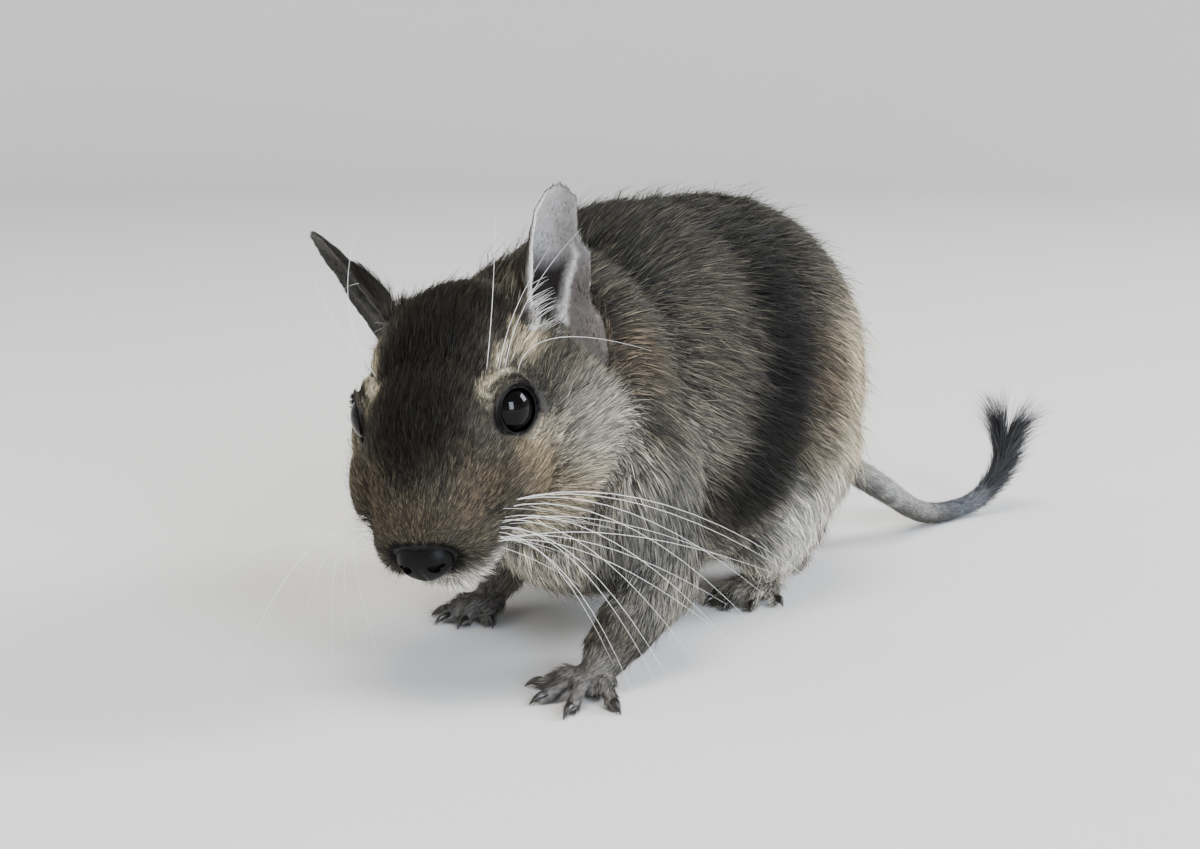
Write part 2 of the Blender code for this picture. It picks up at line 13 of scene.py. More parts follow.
import bmesh
import bpy
import numpy as np
from mathutils import Matrix, Vector
from mathutils.kdtree import KDTree


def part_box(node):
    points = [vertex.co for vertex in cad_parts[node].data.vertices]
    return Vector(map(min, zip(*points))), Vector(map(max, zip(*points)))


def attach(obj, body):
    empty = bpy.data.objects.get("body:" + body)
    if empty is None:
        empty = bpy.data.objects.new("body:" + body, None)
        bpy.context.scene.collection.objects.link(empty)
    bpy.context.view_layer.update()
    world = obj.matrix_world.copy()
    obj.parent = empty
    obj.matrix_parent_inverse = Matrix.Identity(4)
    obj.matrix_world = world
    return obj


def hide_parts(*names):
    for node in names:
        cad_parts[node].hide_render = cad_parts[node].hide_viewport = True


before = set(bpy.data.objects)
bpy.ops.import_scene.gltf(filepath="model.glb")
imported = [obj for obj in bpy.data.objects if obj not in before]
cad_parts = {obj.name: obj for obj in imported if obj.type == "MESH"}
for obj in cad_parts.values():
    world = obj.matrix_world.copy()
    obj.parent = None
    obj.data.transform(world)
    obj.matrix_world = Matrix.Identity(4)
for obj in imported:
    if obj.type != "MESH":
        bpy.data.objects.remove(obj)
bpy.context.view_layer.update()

log = logging.getLogger("degu")

# A millimetre in the frame's metres, and what every random draw starts from
MM = 0.001
SEED = 11

# The head's place, its turns in degrees and the pose of its own axes
HEAD_CENTRE = Vector((2.3, -63.9, 43.6))
HEAD_TURN = 16.5
HEAD_TILT = -6.5
HEAD_NOD = 41.0
HEAD = (Matrix.Translation(HEAD_CENTRE)
        @ Matrix.Rotation(math.radians(HEAD_TURN), 4, "Z")
        @ Matrix.Rotation(math.radians(HEAD_TILT), 4, "Y")
        @ Matrix.Rotation(math.radians(HEAD_NOD), 4, "X"))
HEAD_AXES = HEAD.to_3x3()

# The left eye, the middle of its ball and the nose pad, in the head's axes
EYE_RADIUS = 4.1
EYE_CENTRE = Vector((10.0, -0.4, -0.7))
EYE_AXIS = Vector((0.86, -0.42, 0.28))
EYE_SEAT = np.array(EYE_CENTRE + EYE_AXIS * 0.35)
NOSE_CENTRE = Vector((0.0, -22.0, -7.2))
PAD_RADII = (4.3, 3.1, 2.95)

# The nodes of flesh, which the skin takes the place of
FLESH = ("head", "neck", "torso", "foreleg_left", "foreleg_right", "hindleg_left",
         "hindleg_right", "forefoot_left", "forefoot_right", "hindfoot_left", "hindfoot_right",
         "tail_base", "tail_mid")

# The middle of the tail from its root to its tip
TAIL_POINTS = ((2, 34, 25), (7.4, 43, 20.4), (12.6, 51, 14.6), (15.2, 59, 9.6), (15.4, 67, 5.6),
               (15.6, 75, 2.9), (17.2, 83.5, 2.2), (19.4, 90.5, 3.6), (21.2, 96, 8.2),
               (21.6, 98.4, 14.6))


class Side(Enum):
    """A side of the animal, as the sign of its X."""

    LEFT = 1
    RIGHT = -1

    @property
    def word(self) -> str:
        """The side's name in lower case."""
        return self.name.lower()

    @property
    def flip(self) -> np.ndarray:
        """What a place on the left is multiplied by to be on this side."""
        return np.array((self.value, 1.0, 1.0))


class Axes(Enum):
    """The axes that a place is given in."""

    BODY = "body"
    HEAD = "head"


def linear(colour: str) -> tuple[float, float, float, float]:
    """Turns an sRGB hex colour to linear light.

    Args:
        colour: Six hex digits.

    Returns:
        Red, green, blue and an alpha of one.
    """
    parts = [int(colour[i:i + 2], 16) / 255 for i in (0, 2, 4)]
    return (*[c / 12.92 if c <= 0.04045 else ((c + 0.055) / 1.055) ** 2.4 for c in parts], 1.0)


def rgb(colour: str) -> np.ndarray:
    """An sRGB hex colour as linear red, green and blue."""
    return np.array(linear(colour)[:3])


def blend(tone: np.ndarray, colour: str, amount: np.ndarray) -> np.ndarray:
    """Moves the colour of each row towards one colour, by its own amount from 0 to 1."""
    return tone + (rgb(colour) - tone) * amount[:, None]


def pose_shift() -> Vector:
    """Finds how far the frame's origin is from the pose's own, from the left eye.

    Returns:
        The shift in millimetres.
    """
    low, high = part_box("eye_left")
    return (low + high) / 2 / MM - HEAD @ EYE_CENTRE


TO_FRAME = Matrix.Scale(MM, 4) @ Matrix.Translation(pose_shift())
FROM_FRAME = TO_FRAME.inverted()


def moved(points: np.ndarray, pose: Matrix) -> np.ndarray:
    """Brings places, one per row, from a pose's own axes to the ones it is given in."""
    turn = np.array(pose)
    return points @ turn[:3, :3].T + turn[:3, 3]


def on_head(points: np.ndarray) -> np.ndarray:
    """Brings places, one per row, from the pose's axes to the head's own."""
    return moved(points, HEAD.inverted())


def unit(vectors: np.ndarray) -> np.ndarray:
    """Scales vectors, one per row, to length one."""
    return vectors / np.maximum(np.linalg.norm(vectors, axis=-1, keepdims=True), 1e-9)


def eye_line(side: Side) -> np.ndarray:
    """The way that an eye looks, in the head's axes."""
    return unit(np.array(EYE_AXIS) * side.flip)


def ease(values: np.ndarray) -> np.ndarray:
    """Eases shares from 0 to 1 in and out."""
    held = np.clip(values, 0.0, 1.0)
    return held * held * (3 - 2 * held)


def ripple(points: np.ndarray, scale: float, seed: int, count: int = 3) -> np.ndarray:
    """A smooth random field made of waves.

    Args:
        points: Places, one per row.
        scale: The size of its patches in millimetres.
        seed: Which field.
        count: How many values to give at each place.

    Returns:
        Values of about -1 to 1, count per row.
    """
    draw = np.random.default_rng(seed)
    total = np.zeros((len(points), count))
    waves = 7
    for _ in range(waves):
        ways = unit(draw.normal(size=(count, 3))) * draw.uniform(0.6, 1.6, (count, 1))
        starts = draw.uniform(0, 2 * math.pi, count)
        total += np.sin(points @ (ways * (math.pi / scale)).T + starts)
    return total / math.sqrt(waves)


# Working with objects

def deselect() -> None:
    """Leaves object mode's selection empty."""
    bpy.ops.object.select_all(action="DESELECT")


def pick(obj: bpy.types.Object) -> None:
    """Selects one object alone and makes it active."""
    deselect()
    obj.select_set(True)
    bpy.context.view_layer.objects.active = obj


def on_whole_mesh(obj: bpy.types.Object, step: Callable[..., object], **settings: object) -> None:
    """Runs an operator of edit mode on all of a mesh.

    Args:
        obj: The object.
        step: The operator.
        **settings: Its settings.
    """
    pick(obj)
    bpy.ops.object.mode_set(mode="EDIT")
    bpy.ops.mesh.select_all(action="SELECT")
    step(**settings)
    bpy.ops.object.mode_set(mode="OBJECT")


def apply_modifier(obj: bpy.types.Object, kind: str, **settings: object) -> None:
    """Adds a modifier and applies it.

    Args:
        obj: The object.
        kind: The modifier's type.
        **settings: Its settings.
    """
    pick(obj)
    step = obj.modifiers.new(kind.lower(), kind)
    for name, value in settings.items():
        setattr(step, name, value)
    bpy.ops.object.modifier_apply(modifier=step.name)


def join(name: str, pieces: list[bpy.types.Object]) -> bpy.types.Object:
    """Joins objects in one.

    Args:
        name: The new object's name.
        pieces: The objects, which go.

    Returns:
        The joined object.
    """
    deselect()
    for piece in pieces:
        piece.select_set(True)
    bpy.context.view_layer.objects.active = pieces[0]
    if len(pieces) > 1:
        bpy.ops.object.join()
    pieces[0].name = name
    pieces[0].data.name = name
    return pieces[0]


def apply_place(obj: bpy.types.Object) -> bpy.types.Object:
    """Moves an object's place, turn and size into its mesh."""
    pick(obj)
    bpy.ops.object.transform_apply(location=True, rotation=True, scale=True)
    return obj


def places_of(mesh: bpy.types.Mesh) -> np.ndarray:
    """The places of a mesh's vertices, one per row."""
    found = np.empty(len(mesh.vertices) * 3, np.float32)
    mesh.vertices.foreach_get("co", found)
    return found.reshape(-1, 3).astype(float)


def normals_of(mesh: bpy.types.Mesh) -> np.ndarray:
    """The normals of a mesh's vertices, one per row."""
    found = np.empty(len(mesh.vertices) * 3, np.float32)
    mesh.vertex_normals.foreach_get("vector", found)
    return found.reshape(-1, 3).astype(float)


def set_places(mesh: bpy.types.Mesh, places: np.ndarray) -> None:
    """Moves a mesh's vertices."""
    mesh.vertices.foreach_set("co", places.astype(np.float32).ravel())
    mesh.update()


def from_arrays(name: str, places: np.ndarray, triangles: np.ndarray) -> bpy.types.Object:
    """Makes an object of triangles.

    Args:
        name: Its name.
        places: Its vertices, one per row.
        triangles: Three vertex numbers per row.

    Returns:
        The object, in the scene.
    """
    mesh = bpy.data.meshes.new(name)
    mesh.vertices.add(len(places))
    mesh.vertices.foreach_set("co", places.astype(np.float32).ravel())
    mesh.loops.add(triangles.size)
    mesh.loops.foreach_set("vertex_index", triangles.astype(np.int32).ravel())
    mesh.polygons.add(len(triangles))
    mesh.polygons.foreach_set("loop_start", np.arange(0, triangles.size, 3, dtype=np.int32))
    mesh.update(calc_edges=True)
    mesh.validate()
    made = bpy.data.objects.new(name, mesh)
    bpy.context.scene.collection.objects.link(made)
    return made


def triangles_of(mesh: bpy.types.Mesh) -> np.ndarray:
    """The vertex numbers of a mesh's triangles, three per row."""
    mesh.calc_loop_triangles()
    found = np.empty(len(mesh.loop_triangles) * 3, np.int32)
    mesh.loop_triangles.foreach_get("vertices", found)
    return found.reshape(-1, 3)


def tubes(name: str, paths: list, radii: list, sides: int = 5) -> bpy.types.Object:
    """Makes many closed tapered tubes as one object.

    Args:
        name: The object's name.
        paths: For each tube, its points from root to tip.
        radii: For each tube, its radius at each point.
        sides: How many sides a tube has.

    Returns:
        The object.
    """
    places, triangles, start = [], [], 0
    around = np.arange(sides)
    following = (around + 1) % sides
    turns = 2 * math.pi * around / sides
    for path, radius in zip(paths, radii):
        path = np.array(path, float)
        ahead = unit(np.gradient(path, axis=0))
        upright = abs(ahead[0, 2]) >= 0.8
        first = unit(np.cross(ahead, (1.0, 0.0, 0.0) if upright else (0.0, 0.0, 1.0)))
        second = np.cross(ahead, first)
        ring = (first[:, None] * np.cos(turns)[:, None] + second[:, None] * np.sin(turns)[:, None])
        body = path[:, None] + ring * np.asarray(radius, float)[:, None, None]
        places.append(np.vstack((body.reshape(-1, 3), path[:1], path[-1:])))
        rows = np.arange(len(path) - 1)[:, None] * sides
        here, beside = rows + around, rows + following
        wall = np.stack((here, beside, beside + sides, here, beside + sides, here + sides), -1)
        last, ends = (len(path) - 1) * sides, len(path) * sides
        root = np.stack((following, around, np.full(sides, ends)), -1)
        tip = np.stack((last + around, last + following, np.full(sides, ends + 1)), -1)
        triangles.append(np.vstack((wall.reshape(-1, 3), root, tip)) + start)
        start += len(places[-1])
    made = from_arrays(name, np.vstack(places), np.vstack(triangles))
    on_whole_mesh(made, bpy.ops.mesh.normals_make_consistent, inside=False)
    return made


def paint(mesh: bpy.types.Mesh, name: str, values: np.ndarray) -> None:
    """Stores a number or a colour at each vertex.

    Args:
        mesh: The mesh.
        name: The attribute's name.
        values: One number, or one row of red, green and blue, per vertex.
    """
    if values.ndim == 1:
        layer = mesh.attributes.new(name, "FLOAT", "POINT")
        layer.data.foreach_set("value", values.astype(np.float32))
        return
    full = np.ones((len(values), 4), np.float32)
    full[:, :3] = values
    mesh.attributes.new(name, "FLOAT_COLOR", "POINT").data.foreach_set("color", full.ravel())


def settle(obj: bpy.types.Object, look: bpy.types.Material) -> None:
    """Finishes a piece: brings it to the frame's metres, gives it its look and lets it ride.

    Args:
        obj: The piece, in millimetres.
        look: Its material.
    """
    obj.data.transform(TO_FRAME)
    obj.data.materials.clear()
    obj.data.materials.append(look)
    obj.data.shade_smooth()
    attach(obj, "root")
    log.info("%s: %d triangles", obj.name, len(triangles_of(obj.data)))


# Materials

# The depth of the fine relief of skin, leather and horn
RELIEF = 0.1 * MM


def add_node(tree: bpy.types.NodeTree, kind: str, inputs: dict | None = None,
             **settings: object) -> bpy.types.Node:
    """Adds a node with its settings and links.

    Args:
        tree: The node tree.
        kind: The node's type.
        inputs: For each input socket, by name or number, a value or the socket that feeds it.
        **settings: The node's own settings.

    Returns:
        The node.
    """
    made = tree.nodes.new(kind)
    for name, value in settings.items():
        setattr(made, name, value)
    for key, value in (inputs or {}).items():
        if isinstance(value, bpy.types.NodeSocket):
            tree.links.new(value, made.inputs[key])
        else:
            made.inputs[key].default_value = value
    return made


def new_material(name: str, **shader: float) -> tuple[bpy.types.Material, bpy.types.Node]:
    """Starts a material.

    Args:
        name: Its name.
        **shader: Values for the shader's sockets, with _ in the place of each space.

    Returns:
        The material and its shader node.
    """
    made = bpy.data.materials.new(name)
    made.use_nodes = True
    node = made.node_tree.nodes["Principled BSDF"]
    for key, value in shader.items():
        node.inputs[key.replace("_", " ")].default_value = value
    return made, node


@dataclass(frozen=True)
class CoatLook:
    """Hair of the coat: a matt, slightly waxy fibre, which reads as soft and without gloss.

    It is dark at the root and banded pale further out, which gives the eye the grizzled look.
    shades are the brightness along a hair and levels that from hair to hair, each as pairs of
    place and value.
    """

    name: str = "agouti_hair"
    roughness: float = 0.5
    specular: float = 0.12
    shades: tuple = ((0.0, 0.16), (0.4, 0.55), (0.72, 1.25), (1.0, 0.75))
    levels: tuple = ((0.0, 0.25), (0.45, 0.55), (0.64, 1.0), (0.88, 1.75))
    dark_tint: tuple = (0.92, 0.96, 1.0)
    pale_tint: tuple = (1.06, 1.0, 0.9)

    def build(self) -> bpy.types.Material:
        """Makes the material.

        Returns:
            A material that bands the hair's own colour from root to tip, and from hair to hair.
        """
        made, shader = new_material(self.name, Roughness=self.roughness,
                                    Specular_IOR_Level=self.specular)
        tree = made.node_tree
        tone, along, chance = [add_node(tree, "ShaderNodeAttribute", attribute_name=name)
                               for name in ("tone", "along", "chance")]
        colour = tone.outputs["Color"]
        for source, steps in ((along, self.shades), (chance, self.levels)):
            curve = add_node(tree, "ShaderNodeFloatCurve", {"Value": source.outputs["Fac"]})
            line = curve.mapping.curves[0]
            while len(line.points) < len(steps):
                line.points.new(0.5, 0.5)
            for point, (at, value) in zip(line.points, steps):
                point.location = (at, value / 2)
            curve.mapping.update()
            # A curve's values end at 1, so it holds half of each and the colour is doubled
            for scale in (curve.outputs[0], 2.0):
                colour = add_node(tree, "ShaderNodeVectorMath", {0: colour, "Scale": scale},
                                  operation="SCALE").outputs[0]
        tint = add_node(tree, "ShaderNodeMix", {0: chance.outputs["Fac"], 6: (*self.dark_tint, 1.0),
                                                7: (*self.pale_tint, 1.0)}, data_type="RGBA")
        warmed = add_node(tree, "ShaderNodeVectorMath", {0: colour, 1: tint.outputs[2]},
                          operation="MULTIPLY")
        tree.links.new(warmed.outputs[0], shader.inputs["Base Color"])
        return made


@dataclass(frozen=True)
class SkinLook:
    """Thin dry skin in the colour of the hair that grows on it.

    Its fine creases break the light, so that bare spots between hairs don't shine. noise is the
    span of the pattern that shows, and shades is the brightness at its two ends.
    """

    name: str = "soft_skin"
    crease_mm: float = 0.6
    roughness: float = 0.6
    specular: float = 0.2
    bump: float = 0.35
    noise: tuple = (0.3, 0.7)
    shades: tuple = (0.9, 1.08)

    def build(self) -> bpy.types.Material:
        """Makes the material.

        Returns:
            A material with fine creases over the painted tone.
        """
        made, shader = new_material(self.name, Roughness=self.roughness,
                                    Specular_IOR_Level=self.specular)
        tree = made.node_tree
        tone = add_node(tree, "ShaderNodeAttribute", attribute_name="tone")
        where = add_node(tree, "ShaderNodeTexCoord")
        fine = add_node(tree, "ShaderNodeTexNoise", {
            "Vector": where.outputs["Object"], "Scale": 1 / (self.crease_mm * MM), "Detail": 4.0})
        spread = add_node(tree, "ShaderNodeMapRange", {
            0: fine.outputs["Fac"], 1: self.noise[0], 2: self.noise[1],
            3: self.shades[0], 4: self.shades[1]})
        mixed = add_node(tree, "ShaderNodeVectorMath", {
            0: tone.outputs["Color"], "Scale": spread.outputs[0]}, operation="SCALE")
        bump = add_node(tree, "ShaderNodeBump", {
            "Height": fine.outputs["Fac"], "Strength": self.bump, "Distance": RELIEF})
        tree.links.new(mixed.outputs[0], shader.inputs["Base Color"])
        tree.links.new(bump.outputs[0], shader.inputs["Normal"])
        return made


@dataclass(frozen=True)
class PlainLook:
    """A smooth grown surface: wet eye, moist nose leather, horn or a stiff hair.

    How smooth and how wet it is gives the eye its highlight: sharp on an eyeball, broad and
    broken on leather.
    """

    name: str
    colour: str
    second: str
    grain_mm: float
    roughness: float
    specular: float = 0.5
    coat: float = 0.0
    bump: float = 0.0

    def build(self) -> bpy.types.Material:
        """Makes the material.

        Returns:
            A material that drifts between its two colours.
        """
        made, shader = new_material(self.name, Roughness=self.roughness,
                                    Specular_IOR_Level=self.specular,
                                    Coat_Weight=self.coat, Coat_Roughness=0.03)
        tree = made.node_tree
        where = add_node(tree, "ShaderNodeTexCoord")
        grain = add_node(tree, "ShaderNodeTexNoise", {
            "Vector": where.outputs["Object"], "Scale": 1 / (self.grain_mm * MM), "Detail": 3.0})
        mixed = add_node(tree, "ShaderNodeMix", {
            0: grain.outputs["Fac"], 6: linear(self.colour), 7: linear(self.second)},
            data_type="RGBA")
        tree.links.new(mixed.outputs[2], shader.inputs["Base Color"])
        if self.bump:
            bump = add_node(tree, "ShaderNodeBump", {
                "Height": grain.outputs["Fac"], "Strength": self.bump, "Distance": RELIEF})
            tree.links.new(bump.outputs[0], shader.inputs["Normal"])
        return made


# The coat's lie and colours

@dataclass(frozen=True)
class Guide:
    """How the coat lies near one place.

    place and along are in the axes named; length, width, depth and reach are in millimetres and
    lift in degrees. A guide with both_sides is repeated on the other side. One hair is about
    0.05 mm thick, too fine to show in the render, so width is that of a tuft of a few hairs.
    """

    axes: Axes
    place: tuple[float, float, float]
    along: tuple[float, float, float]
    length: float
    lift: float
    depth: float
    width: float = 0.2
    reach: float = 9.0
    both_sides: bool = False


GUIDES = (
    Guide(Axes.HEAD, (0, -22, -2), (0, 1, 0.45), 1.3, 16, 0.3, 0.11, 4),
    Guide(Axes.HEAD, (0, -16, 2), (0, 1, 0.35), 2.0, 14, 0.5, 0.13, 6),
    Guide(Axes.HEAD, (0, -8, 6.5), (0, 1, 0.3), 3.0, 14, 0.9, 0.15, 7),
    Guide(Axes.HEAD, (0, 2, 9.5), (0, 1, 0.05), 4.0, 14, 1.3, 0.16, 8),
    Guide(Axes.HEAD, (0, 13, 9.5), (0, 1, -0.25), 5.0, 16, 1.6, 0.17, 9),
    Guide(Axes.HEAD, (5, -20, -5), (0.55, 1, 0.15), 1.5, 16, 0.35, 0.12, 4, True),
    Guide(Axes.HEAD, (8, -14, -6), (0.3, 1, 0.0), 2.2, 15, 0.5, 0.13, 5, True),
    Guide(Axes.HEAD, (3.5, -22, -12), (0.35, -0.1, -1.0), 4.6, 26, 0.35, 0.11, 3.4, True),
    Guide(Axes.HEAD, (6.8, -19, -13), (0.6, 0.1, -1.0), 4.4, 26, 0.4, 0.11, 3.2, True),
    Guide(Axes.HEAD, (7.5, -16, -12), (0.5, 0.75, -0.6), 2.8, 22, 0.5, 0.13, 4.5, True),
    Guide(Axes.HEAD, (0, -17, -17), (0, 0.6, -0.9), 2.6, 25, 0.5, 0.13, 5),
    Guide(Axes.HEAD, (12, -6, -7), (0.25, 1, -0.2), 3.0, 14, 0.9, 0.15, 6, True),
    Guide(Axes.HEAD, (10, -7, 1), (0.3, 1, 0.15), 2.2, 12, 0.6, 0.13, 4, True),
    Guide(Axes.HEAD, (9, 2, 6), (0.15, 1, 0.1), 2.6, 14, 0.8, 0.14, 4, True),
    Guide(Axes.HEAD, (14, 6, -1), (0.1, 1, 0.0), 3.2, 14, 1.0, 0.15, 5, True),
    Guide(Axes.HEAD, (17, 4, -9), (0.1, 1, -0.35), 4.4, 15, 1.4, 0.17, 8, True),
    Guide(Axes.HEAD, (10, -3, -16), (0.1, 1, -0.3), 4.0, 18, 1.1, 0.17, 7, True),
    Guide(Axes.HEAD, (0, 0, -19), (0, 1, -0.1), 4.0, 18, 1.2, 0.18, 9),
    Guide(Axes.BODY, (4, -34, 62), (0, 1, 0.2), 7.5, 16, 2.2, 0.2, 12),
    Guide(Axes.BODY, (0, -5, 70), (0, 1, 0), 8.5, 15, 2.6, 0.21, 16),
    Guide(Axes.BODY, (0, 22, 67), (0, 1, -0.35), 8.5, 17, 2.8, 0.21, 14),
    Guide(Axes.BODY, (0, 40, 46), (0, 0.5, -1), 8.5, 20, 2.8, 0.21, 13),
    Guide(Axes.BODY, (0, 38, 22), (0, 0.1, -1), 7.5, 20, 2.6, 0.21, 12),
    Guide(Axes.BODY, (24, -24, 46), (0.05, 0.9, -0.4), 7.5, 15, 2.4, 0.2, 13, True),
    Guide(Axes.BODY, (29, 0, 42), (0, 0.95, -0.5), 8.0, 15, 2.6, 0.2, 13, True),
    Guide(Axes.BODY, (29, 18, 38), (0, 0.75, -0.8), 8.0, 17, 2.6, 0.2, 12, True),
    Guide(Axes.BODY, (27, 10, 18), (0, 0.3, -1), 6.5, 17, 2.2, 0.19, 9, True),
    Guide(Axes.BODY, (22, 4, 9), (0, -0.1, -1), 4.0, 16, 1.2, 0.17, 6, True),
    Guide(Axes.BODY, (24, -12, 20), (0, 0.85, -0.6), 7.5, 16, 2.2, 0.2, 9, True),
    Guide(Axes.BODY, (0, 0, 7), (0, 1, 0), 6.0, 16, 1.8, 0.2, 18),
    Guide(Axes.BODY, (6, -50, 22), (0.1, 0.5, -1), 5.5, 18, 1.8, 0.19, 9),
    Guide(Axes.BODY, (24, -38, 32), (0.1, 0.2, -1), 6.0, 15, 2.0, 0.19, 9),
    Guide(Axes.BODY, (-20, -34, 30), (-0.1, 0.3, -1), 6.0, 15, 2.0, 0.19, 9),
    Guide(Axes.BODY, (24, -38, 16), (0, -0.5, -0.9), 4.2, 15, 1.2, 0.17, 7),
    Guide(Axes.BODY, (-17.5, -26, 15), (0, -0.3, -0.9), 4.2, 15, 1.2, 0.17, 7),
    Guide(Axes.BODY, (22.3, -47, 8), (0, -0.85, -0.5), 2.6, 15, 0.5, 0.15, 4),
    Guide(Axes.BODY, (-18, -24, 7), (0, -0.5, -0.9), 2.6, 15, 0.5, 0.15, 4),
    Guide(Axes.BODY, (22.3, -55, 3), (0.05, -1, -0.1), 2.4, 11, 0.36, 0.1, 4),
    Guide(Axes.BODY, (14.5, -56, 1.5), (-1, -0.5, -0.1), 2.2, 11, 0.4, 0.1, 3),
    Guide(Axes.BODY, (19.2, -59.5, 1.5), (-0.45, -1, -0.1), 2.2, 11, 0.4, 0.1, 3),
    Guide(Axes.BODY, (24.7, -61, 1.5), (0.3, -1, -0.1), 2.2, 11, 0.4, 0.1, 3),
    Guide(Axes.BODY, (28.5, -57, 1.5), (0.9, -0.7, -0.1), 2.2, 11, 0.4, 0.1, 3),
    Guide(Axes.BODY, (-18, -31, 3), (0, -1, -0.1), 2.2, 11, 0.36, 0.1, 5),
    Guide(Axes.BODY, (11, 26, 6), (0, -0.8, -0.6), 3.0, 14, 0.6, 0.15, 6, True),
    Guide(Axes.BODY, (14, 6, 3), (0, -1, -0.1), 2.6, 13, 0.4, 0.11, 7, True),
    Guide(Axes.BODY, (15, -0.5, 1.5), (0, -1, -0.1), 2.0, 11, 0.36, 0.1, 4, True),
)


# Length, lift, depth, width and reach of the guides along the tail
TAIL_HAIR = (2.4, 11, 0.5, 0.11, 3.5)
# Lift, depth and width of the down on the ears
EAR_DOWN = (12.0, 0.1, 0.08)
# How far from the eye's middle the hair is parted and over what distance that fades, and how much
# length, lift, depth and width it loses at the eye
PARTING_REACH = 7.0
PARTING_FADE = 3.5
PARTING_LOSS = (0.66, 0.65, 0.0, 0.3)


class Lie:
    """The coat's lie all over the body, read from the guides near each place."""

    def __init__(self, ears: "EarMap") -> None:
        """Spreads the guides.

        Args:
            ears: The map of the ears.
        """
        self.ears = ears
        rows = []
        for guide in GUIDES:
            for side in sides_of(guide):
                place = Vector(np.array(guide.place) * side.flip)
                along = Vector(np.array(guide.along) * side.flip).normalized()
                if guide.axes is Axes.HEAD:
                    place, along = HEAD @ place, HEAD_AXES @ along
                rows.append((*place, *along, guide.length, guide.lift, guide.depth, guide.width,
                             guide.reach))
        path = tail_path(2)
        for here, ahead in zip(path[1:], path[2:] + path[-1:]):
            way = (ahead - here).normalized() if ahead != here else Vector((0, 0, 1))
            rows.append((*here, *way, *TAIL_HAIR))
        self.rows = np.array(rows)

    def read(self, points: np.ndarray) -> tuple[np.ndarray, np.ndarray]:
        """Reads the lie.

        Args:
            points: Places, one per row.

        Returns:
            The way that hair points, and its length, lift, depth and width, one row per place.
        """
        total = np.zeros((len(points), 7))
        weights = np.zeros(len(points))
        for row in self.rows:
            away = np.linalg.norm(points - row[:3], axis=1) / row[10]
            weight = np.exp(-away * away) + 1e-4 / (1 + away ** 6)
            total += row[3:10] * weight[:, None]
            weights += weight
        total /= weights[:, None]
        way, form = unit(total[:, :3]), total[:, 3:]
        self.part_round_eyes(points, way, form)
        self.lay_on_ears(points, way, form)
        return unit(way), form

    def part_round_eyes(self, points: np.ndarray, way: np.ndarray, form: np.ndarray) -> None:
        """Shortens the hair round the eyes and makes it flow past them, in place.

        Args:
            points: Places, one per row.
            way: The way that hair points there.
            form: Its length, lift, depth and width.
        """
        head = on_head(points)
        turn = np.array(HEAD_AXES)
        for side in Side:
            axis = eye_line(side)
            near = ease((PARTING_REACH - eye_distance(head, side)) / PARTING_FADE)
            spoke = head - np.array(EYE_CENTRE) * side.flip
            spoke = unit(spoke - (spoke @ axis)[:, None] * axis) @ turn.T
            inward = np.maximum(0.0, -(way * spoke).sum(1))
            way += spoke * ((inward * 1.1 + 0.1) * near)[:, None]
            form *= 1 - near[:, None] * PARTING_LOSS

    def lay_on_ears(self, points: np.ndarray, way: np.ndarray, form: np.ndarray) -> None:
        """Lays short down on the ears, longer low on their backs, in place.

        Args:
            points: Places, one per row.
            way: The way that hair points there.
            form: Its length, lift, depth and width.
        """
        belongs, height, share, inside, side = self.ears.read(points)
        length = 1.1 + 3.0 * (1 - inside) * ease((15 - height) / 9)
        down = np.column_stack((length, np.tile(EAR_DOWN, (len(points), 1))))
        lean = (np.where(share < 0.35, 0.5, 0.15) * inside)[:, None]
        for which in Side:
            rise, across, _ = Ear(which).axes()
            mine = (belongs * (side == which.value))[:, None]
            way += ((rise + lean * across) @ np.array(HEAD_AXES).T - way) * mine
            form += (down - form) * mine


def tail_path(steps: int) -> list[Vector]:
    """Points on a smooth curve along the middle of the tail.

    Args:
        steps: How many steps each stretch between two given points gets.

    Returns:
        The points, from the tail's root to its tip.
    """
    given = [Vector(point) for point in TAIL_POINTS]
    ends = [given[0] * 2 - given[1], *given, given[-1] * 2 - given[-2]]
    found = []
    for a, b, c, d in zip(ends, ends[1:], ends[2:], ends[3:]):
        for i in range(steps):
            t = i / steps
            found.append(0.5 * (2 * b + (c - a) * t + (2 * a - 5 * b + 4 * c - d) * t * t
                                + (3 * b - 3 * c + d - a) * t ** 3))
    return [*found, given[-1]]


class Fur(Enum):
    """The coat's colours, in sRGB; a few stand in for painted shade, as said where they are laid.
    """

    # Painted shade for the fold between the flank and the thigh
    BLACK = "12110f"
    UMBER = "1a1610"
    SLATE = "393731"
    BROWN = "5c5142"
    GRIZZLED = "4e4a41"
    TAN = "8f7f66"
    BUFF = "b3a68c"
    CREAM = "cbbfa4"
    ASH = "9c978a"
    PALE = "c2bbac"
    WHITE = "dcd8cf"
    RUFOUS = "655746"
    LEATHER = "100d0c"
    PAW = "8f8b86"
    SILVER = "b9b8b5"
    STEEL = "6b6f76"
    SMOKE = "6f6d68"


@dataclass(frozen=True)
class Marking:
    """A soft patch of colour: its middle, its radii, its colour and how strong it is."""

    axes: Axes
    place: tuple[float, float, float]
    radii: tuple[float, float, float]
    colour: Fur
    strength: float = 1.0
    both_sides: bool = False


def sides_of(row: Guide | Marking) -> list[Side]:
    """The left side, and also the right one where a guide or a marking stands for both."""
    return list(Side) if row.both_sides else [Side.LEFT]


# The dark underside of the tail from its root on
TAIL_UNDERSIDE = ((10.0, 46.4, 14.6), (12.6, 50.4, 11.6), (14.4, 54.8, 8.8), (15.2, 59.2, 6.4),
                  (15.4, 63.8, 4.2), (15.4, 68.6, 2.0))
